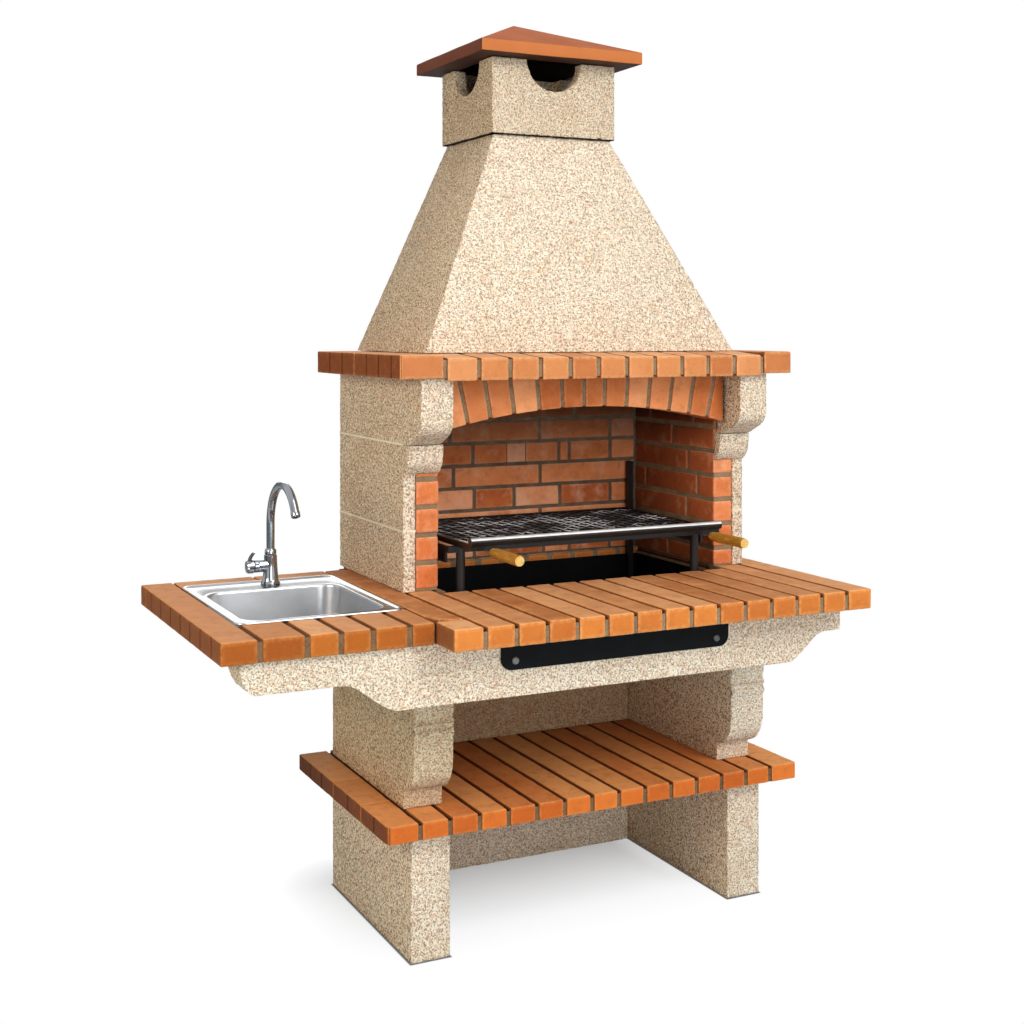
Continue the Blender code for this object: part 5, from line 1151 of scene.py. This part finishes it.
def tube(path, radius, sides, side=None):
    angles = [2 * math.pi * k / sides for k in range(sides)]
    rings = []
    for i, point in enumerate(path):
        along = (path[min(i + 1, len(path) - 1)] - path[max(i - 1, 0)]).normalized()
        beside = side or along.cross(Vector((0.0, 0.0, 1.0))).normalized()
        over = beside.cross(along)
        spokes = [beside * math.cos(angle) + over * math.sin(angle) for angle in angles]
        rings.append([point + spoke * radius for spoke in spokes])
    return loft(rings)


def weaveGrate():
    low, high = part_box("grate_bars")
    chance = random.Random(5)
    play = grateWork["play"]
    level = high.z - grateWork["bar"] / 2 - play
    pitch = (high.x - low.x) / (grateWork["bars"] + 1)
    spans = (high.y - low.y) / (grateWork["wires"] + 1)

    def within(value, axis):
        return min(max(value, low[axis] + play), high[axis] - play)

    tubes = []
    for i in range(1, grateWork["bars"] + 1):
        path = []
        for k in range(grateWork["wires"] * 2 + 3):
            lift = grateWork["lift"] * (math.sin(math.pi * (k / 2 + i)) - 1)
            path.append(Vector((low.x + pitch * i, within(low.y + spans * k / 2, 1), level + lift)))
        tubes.append(tube(path, grateWork["bar"] / 2, grateWork["sides"]))
    slots = [0] * sum(len(faces) for _, faces in tubes)
    for j in range(1, grateWork["wires"] + 1):
        sway = chance.uniform(-grateWork["sway"], grateWork["sway"])
        path = []
        for k in range(grateWork["bars"] * 4 + 5):
            x = within(low.x + pitch * k / 4, 0)
            lift = grateWork["wave"] * math.cos(math.pi * (k / 4 + j))
            drift = grateWork["drift"] * noise.noise(Vector((x * 12.0, j * 0.30, 0.0))) + sway
            path.append(Vector((x, low.y + spans * j + drift, level - 0.0010 + lift * 0.75)))
        tubes.append(tube(path, grateWork["wire"] / 2, grateWork["sides"]))
    skin = merged(*tubes)
    slots += [1] * (len(skin[1]) - len(slots))
    adopt(skinned("wovenGrate", skin, ["bars", "wire"], slots), "grate", "grate_bars")


sinkWork = {
    "side": 0.028, "front": 0.032, "deck": 0.110, "corner": 0.026, "basinCorner": 0.048, "taper": 0.012,
    "floorRound": 0.024, "depth": 0.140, "edge": 0.007, "steps": 10, "drain": 0.0445,
}


def roundedRing(x, y, corner, level):
    points = []
    steps = sinkWork["steps"]
    left, right = x[0] + corner, x[1] - corner
    front, back = y[0] + corner, y[1] - corner
    for cx, cy, start in ((right, back, 0), (left, back, 90), (left, front, 180), (right, front, 270)):
        for i in range(steps + 1):
            angle = math.radians(start + 90 * i / steps)
            points.append(Vector((cx + corner * math.cos(angle), cy + corner * math.sin(angle), level)))
    dense = []
    for point, follow in zip(points, points[1:] + points[:1]):
        dense.append(point)
        if (follow - point).length > 0.03:
            dense += [point.lerp(follow, k / 8) for k in range(1, 8)]
    return dense


def pressSink():
    low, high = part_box("sink_bowl")
    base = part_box("sink_counter")[1].z
    top = high.z
    deck = top - 0.0042
    edge = sinkWork["edge"]
    bend = sinkWork["floorRound"]
    taper = sinkWork["taper"]
    lip = deck + 0.0006
    floor = top - 0.0040 - sinkWork["depth"]
    start = -0.0010 + edge * 0.55

    def rim(setback, level):
        x = (low.x + setback, high.x - setback)
        return roundedRing(x, (low.y + setback, high.y - setback), sinkWork["corner"] - setback * 0.5, level)

    def basin(setback, level):
        x = (low.x + sinkWork["side"] + setback, high.x - sinkWork["side"] - setback)
        y = (low.y + sinkWork["front"] + setback, high.y - sinkWork["deck"] - setback)
        return roundedRing(x, y, sinkWork["basinCorner"] - setback * 0.35, level)

    rings = [rim(*values) for values in (
        (0.0012, base + 0.0003), (0.0, base + 0.0010), (0.0003, top - 0.0020),
        (0.0018, top - 0.0006), (0.0042, top - 0.0001), (0.0068, top - 0.0006),
        (0.0092, top - 0.0022), (0.0115, deck), (0.0135, deck - 0.0003),
    )]
    steps = [(-0.0080, deck - 0.0003), (-0.0062, deck + 0.0004), (-0.0040, deck + 0.0009), (-0.0018, lip)]
    for i in range(1, 7):
        angle = math.pi / 2 * i / 6
        steps.append((-0.0010 + edge * math.sin(angle) * 0.55, lip - edge * (1 - math.cos(angle))))
    for i in range(1, 6):
        share = i / 5
        steps.append((start + (taper - start) * share, lip - edge + (floor + bend - lip + edge) * share))
    for i in range(1, 8):
        angle = math.pi / 2 * i / 7
        steps.append((taper + bend * (1 - math.cos(angle)), floor + bend * (1 - math.sin(angle)) + 0.0006))
    rings += [basin(*values) for values in steps]
    drain = middleOf(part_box("sink_drain"))
    drain.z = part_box("sink_drain")[1].z - 0.0015
    flat = rings[-1]
    hole = []
    for point in flat:
        away = Vector((point.x - drain.x, point.y - drain.y, 0.0)).normalized()
        hole.append(drain + away * sinkWork["drain"])
    for share in (0.25, 0.55, 0.85, 1.0):
        rings.append([a.lerp(b, share) for a, b in zip(flat, hole)])
    mesh = skinned("pressedSink", loft(rings, closedEnds=False), ["brushed"])
    if sum(face.normal.z * face.area for face in mesh.polygons) < 0:
        mesh.flip_normals()
    mesh.set_sharp_from_angle(angle=math.radians(60))
    adopt(mesh, "masonry", "sink_bowl")


def lathe(profile, center, along, sides):  # profile: radius and distance along the axis
    side = Vector((0.0, 0.0, 1.0)) if abs(along.z) < 0.5 else Vector((1.0, 0.0, 0.0))
    over = along.cross(side)
    angles = [2 * math.pi * k / sides for k in range(sides)]
    spokes = [side * math.cos(angle) + over * math.sin(angle) for angle in angles]
    return loft([[center + along * reach + spoke * radius for spoke in spokes] for radius, reach in profile])


tapWork = {
    "neck": 0.0105, "sweep": 150.0, "bend": 0.108, "rise": 0.079, "drop": 0.010, "sides": 28, "steps": 36,
    "foot": 0.0165, "root": 0.010, "crease": 32.0,
    "flare": (
        (1.55, 0.03), (1.48, 0.055), (1.36, 0.08), (1.24, 0.16), (1.14, 0.34), (1.06, 0.6), (1.0, 0.85),
    ),
    "collar": (
        (0.0138, 0.0003), (0.0149, 0.0010), (0.0149, 0.0100),
        (0.0140, 0.0125), (0.0112, 0.0155), (0.0100, 0.0158),
    ),
    "mouth": (
        (0.0104, -0.0078), (0.0113, -0.0074), (0.0115, -0.0060), (0.0115, 0.0048),
        (0.0111, 0.0057), (0.0100, 0.0059), (0.0094, 0.0052), (0.0090, 0.0012),
    ),
}


def shapeTap():
    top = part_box("tap_body")[1].z
    spoutLow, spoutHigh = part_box("tap_spout")
    axisX = (spoutLow.x + spoutHigh.x) / 2
    axisY = spoutHigh.y - (spoutHigh.x - spoutLow.x) / 2
    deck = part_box("sink_bowl")[1].z - 0.0044
    sides = tapWork["sides"]
    up = Vector((0.0, 0.0, 1.0))
    # the body, with its flared foot, and the sleeve that carries the lever
    tall = top - deck
    foot = tapWork["foot"]
    profile = [(0.0122, -0.044), (0.0122, 0.0), (foot * tapWork["flare"][0][0] - 0.001, 0.0002)]
    profile += [(foot * radius, tall * share + 0.0003) for radius, share in tapWork["flare"]]
    profile += [(foot, tall - 0.0016), (0.0152, tall - 0.0004)]
    body = lathe(profile, Vector((axisX, axisY, deck)), up, sides)
    root = middleOf(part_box("tap_cap"))
    root.x = axisX - tapWork["root"]
    reach = root.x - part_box("tap_cap")[1].x + 0.0085
    profile = [(0.0160, 0.0), (0.0158, reach * 0.5)]
    profile += [(0.0163, reach - 0.0022), (0.0155, reach - 0.0006), (0.0130, reach - 0.0003)]
    sleeve = lathe(profile, root, Vector((-1.0, 0.0, 0.0)), sides)
    # the gooseneck, its collar and the aerator's shell
    rise, bend = tapWork["rise"], tapWork["bend"]
    path = [Vector((axisX, axisY, top + height)) for height in (0.0004, rise * 0.5, rise)]
    for i in range(1, tapWork["steps"] + 1):
        angle = math.radians(tapWork["sweep"]) * i / tapWork["steps"]
        reach = bend * (1 - math.cos(angle))
        path.append(Vector((axisX, axisY - reach, top + rise + bend * math.sin(angle))))
    out = (path[-1] - path[-2]).normalized()
    path.append(path[-1] + out * tapWork["drop"])
    neck = tube(path, tapWork["neck"], sides, Vector((1.0, 0.0, 0.0)))
    collar = lathe(tapWork["collar"], Vector((axisX, axisY, top)), up, sides)
    mouth = lathe(tapWork["mouth"], path[-1], out, sides)
    for name, skin, body, node in (
        ("tapColumn", merged(body, sleeve), "masonry", "tap_body"),
        ("tapGooseneck", merged(neck, collar), "spout", "tap_spout"),
        ("tapMouth", mouth, "spout", "tap_aerator"),
    ):
        adopt(skinned(name, skin, ["chrome"], crease=tapWork["crease"]), body, node)


gripWork = {
    "sides": 24,
    "swell": (
        (0.70, 0.0), (0.80, 0.03), (0.86, 0.10), (0.96, 0.16), (1.0, 0.24),
        (0.97, 0.5), (0.99, 0.8), (0.97, 0.95), (0.90, 0.995),
    ),
}


def turnGrips():
    for name in ("left", "right"):
        low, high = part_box("wood_grip_" + name)
        radius = (high.x - low.x) / 2
        root = middleOf((low, high))
        root.y = high.y
        profile = [(radius * share, (high.y - low.y) * reach) for share, reach in gripWork["swell"]]
        skin = lathe(profile, root, Vector((0.0, -1.0, 0.0)), gripWork["sides"])
        slots = [0] * (len(skin[1]) - 1) + [1]
        mesh = skinned("turnedGrip_" + name, skin, ["wood", "endGrain"], slots, crease=40.0)
        adopt(mesh, "grate", "wood_grip_" + name)


layCap()
weaveGrate()
pressSink()
shapeTap()
turnGrips()
print("cap, grate, sink, tap and grips shaped")

finishes = {
    "ember_pan": "soot", "grill_stand": "steel", "grate_frame": "rail",
    "front_plate": "plate", "plate_bolt_left": "bolt", "plate_bolt_right": "bolt",
    "sink_drain": "brushed", "drain_strainer": "brushed", "drain_nut": "plastic",
    "tap_nut": "chrome", "tap_cap": "chrome", "tap_lever": "chrome",
    "handle_tang_left": "brushed", "handle_tang_right": "brushed",
}
for node, paint in finishes.items():
    nodes[node].data.materials.clear()
    nodes[node].data.materials.append(paints[paint])
print("finishes given:", len(finishes))

# Studio

studio = {
    "key": {"place": (1.9, -6.4, 5.4), "size": 3.0, "energy": 342.0, "color": (1.0, 0.99, 0.97)},
    "low": {"place": (-1.2, -6.4, 1.9), "size": 2.6, "energy": 118.0, "color": (1.0, 0.99, 0.97)},
    "left": {"place": (-3.9, -1.2, 2.35), "size": 1.6, "energy": 70.0, "color": (1.0, 0.89, 0.76)},
    "back": {"place": (0.4, 6.0, 3.4), "size": 3.0, "energy": 70.0, "color": (1.0, 0.97, 0.92)},
    "top": {"place": (0.3, -2.4, 6.4), "size": 3.0, "energy": 76.0, "color": (1.0, 0.98, 0.95)},
    "sky": (1.0, 0.92, 0.82, 1.0), "skyStrength": 0.20, "ceiling": (0.85, 0.86, 0.88, 1.0),
    "mirror": (  # upright bands, light and dark, that the steel mirrors
        (0.0, 0.05), (0.07, 0.9), (0.13, 0.95), (0.17, 0.08), (0.27, 0.10), (0.32, 1.0),
        (0.42, 1.0), (0.47, 0.06), (0.55, 0.12), (0.60, 0.9), (0.695, 1.0), (0.718, 0.10),
        (0.80, 0.25), (0.86, 1.0), (0.94, 0.7), (1.0, 0.05),
    ),
    "floor": 14.0, "white": (0.76, 0.91, 1.0, 1.0), "dark": "#4A4038", "contactShadow": 0.0055, "contactShadowDepth": 0.9,
    "shadowCenter": (-0.04, 0.38), "shadowHalf": (0.38, 0.16), "fade": 0.24, "sheenAndGlow": (0.80, 0.22),
    "deepens": (-0.26, 0.22),
}


def lightStudio():
    aim = at(0.0, 0.1, 1.1)
    for name in ("key", "low", "left", "back", "top"):
        values = studio[name]
        light = bpy.data.lights.new(name + "Light", "AREA")
        for key in ("energy", "size", "color"):
            setattr(light, key, values[key])
        lamp = bpy.data.objects.new(name + "Light", light)
        lamp.location = at(*values["place"])
        lamp.rotation_euler = (aim - lamp.location).to_track_quat("-Z", "Y").to_euler()
        bpy.context.scene.collection.objects.link(lamp)
    world = bpy.data.worlds.new("paleStudio")
    sky = Tree(world)
    sky.tree.nodes.remove(sky.tree.nodes["Background"])
    around = sky.node("TexCoord", output="Generated")
    turn = sky.node("TexGradient", {"gradient_type": "RADIAL"}, {0: around}, "Fac")
    stops = [(position, (level, level, level * 1.02, 1.0)) for position, level in studio["mirror"]]
    bands = sky.ramp(turn, *stops)
    height = sky.level(sky.axis(around, 2), 0.25, 0.75)
    mirrored = sky.node("Background", {}, {0: sky.mix(height, bands, studio["ceiling"])})
    pale = sky.node("Background", {}, {0: studio["sky"], 1: studio["skyStrength"]})
    seen = sky.node("Background", {}, {0: (1.0, 1.0, 1.0, 1.0)})
    reflected = sky.node("LightPath", output="Is Glossy Ray")
    glossy = sky.node("MixShader", {}, {0: reflected, 1: pale, 2: mirrored})
    direct = sky.node("LightPath", output="Is Camera Ray")
    blend = sky.node("MixShader", {}, {0: direct, 1: glossy, 2: seen})
    sky.feed(sky.tree.nodes["World Output"].inputs[0], blend)
    bpy.context.scene.world = world


def layFloor():
    reach = studio["floor"]
    corners = [at(x * reach, y * reach, 0.0) for x, y in ((-1, -1), (1, -1), (1, 1), (-1, 1))]
    mesh = bpy.data.meshes.new("studioFloor")
    mesh.from_pydata(corners, [], [(0, 1, 2, 3)])
    floor = bpy.data.objects.new("studioFloor", mesh)
    bpy.context.scene.collection.objects.link(floor)
    paint = Paint("studioWhite")

    def gap(middle, half):  # how far a place lies outside a rectangle
        aside = paint.vector("SUBTRACT", paint.place(), tuple(middle))
        beyond = paint.vector("SUBTRACT", paint.vector("ABSOLUTE", aside), half)
        return paint.vector("LENGTH", paint.vector("MAXIMUM", beyond, (0.0, 0.0, 0.0)), output="Value")

    middle = at(*studio["shadowCenter"], 0.0)
    away = paint.level(gap(middle, (*studio["shadowHalf"], 0.0)), 0.0, studio["fade"])
    behind = paint.level(paint.axis(paint.place(), 1) - middle.y, *studio["deepens"])
    near, far = studio["sheenAndGlow"]
    thin = near + (far - near) * behind
    contactShadow = 0.0
    for low, high in feet:  # painted shadow: the dark line where a foot meets the ground
        outside = gap(middleOf((low, high)), ((high.x - low.x) / 2, (high.y - low.y) / 2, 9.0))
        contactShadow = contactShadow + (1 - paint.level(outside, studio["contactShadow"] * 0.3, studio["contactShadow"]))
    contactShadow = contactShadow * studio["contactShadowDepth"]
    paint.apply(color=paint.mix(contactShadow, studio["white"], studio["dark"]), roughness=0.9, specular=0.0)
    seen = paint.node("LightPath", output="Is Camera Ray")
    share = (thin + (1 - thin) * away) * (1 - contactShadow) * seen
    glow = paint.node("Emission", {}, {"Color": (1.0, 1.0, 1.0, 1.0), "Strength": 1.0})
    both = paint.node("MixShader", {}, {0: share, 1: Signal(paint, paint.shader.outputs[0]), 2: glow})
    paint.feed(paint.tree.nodes["Material Output"].inputs[0], both)
    mesh.materials.append(paint.material)


view = {
    "place": (-1.8634, -3.2882, 1.5481), "turn": -26.2655, "focus": 1461.3229, "horizon": 327.0526,
    "picture": 1024, "sensor": 36.0, "reach": 60.0,
}


def setCamera():
    camera = bpy.data.cameras.new("photoCamera")
    camera.sensor_width = view["sensor"]
    camera.lens = view["focus"] * view["sensor"] / view["picture"]
    camera.shift_y = (view["horizon"] - view["picture"] / 2) / view["picture"]
    camera.clip_end = view["reach"]
    holder = bpy.data.objects.new("photoCamera", camera)
    holder.location = at(*view["place"])
    holder.rotation_euler = (math.radians(90), 0.0, math.radians(view["turn"]))
    bpy.context.scene.collection.objects.link(holder)
    bpy.context.scene.camera = holder


lightStudio()
layFloor()
setCamera()
bpy.context.scene.view_settings.view_transform = "Standard"
print("studio lit")


bpy.context.view_layer.update()
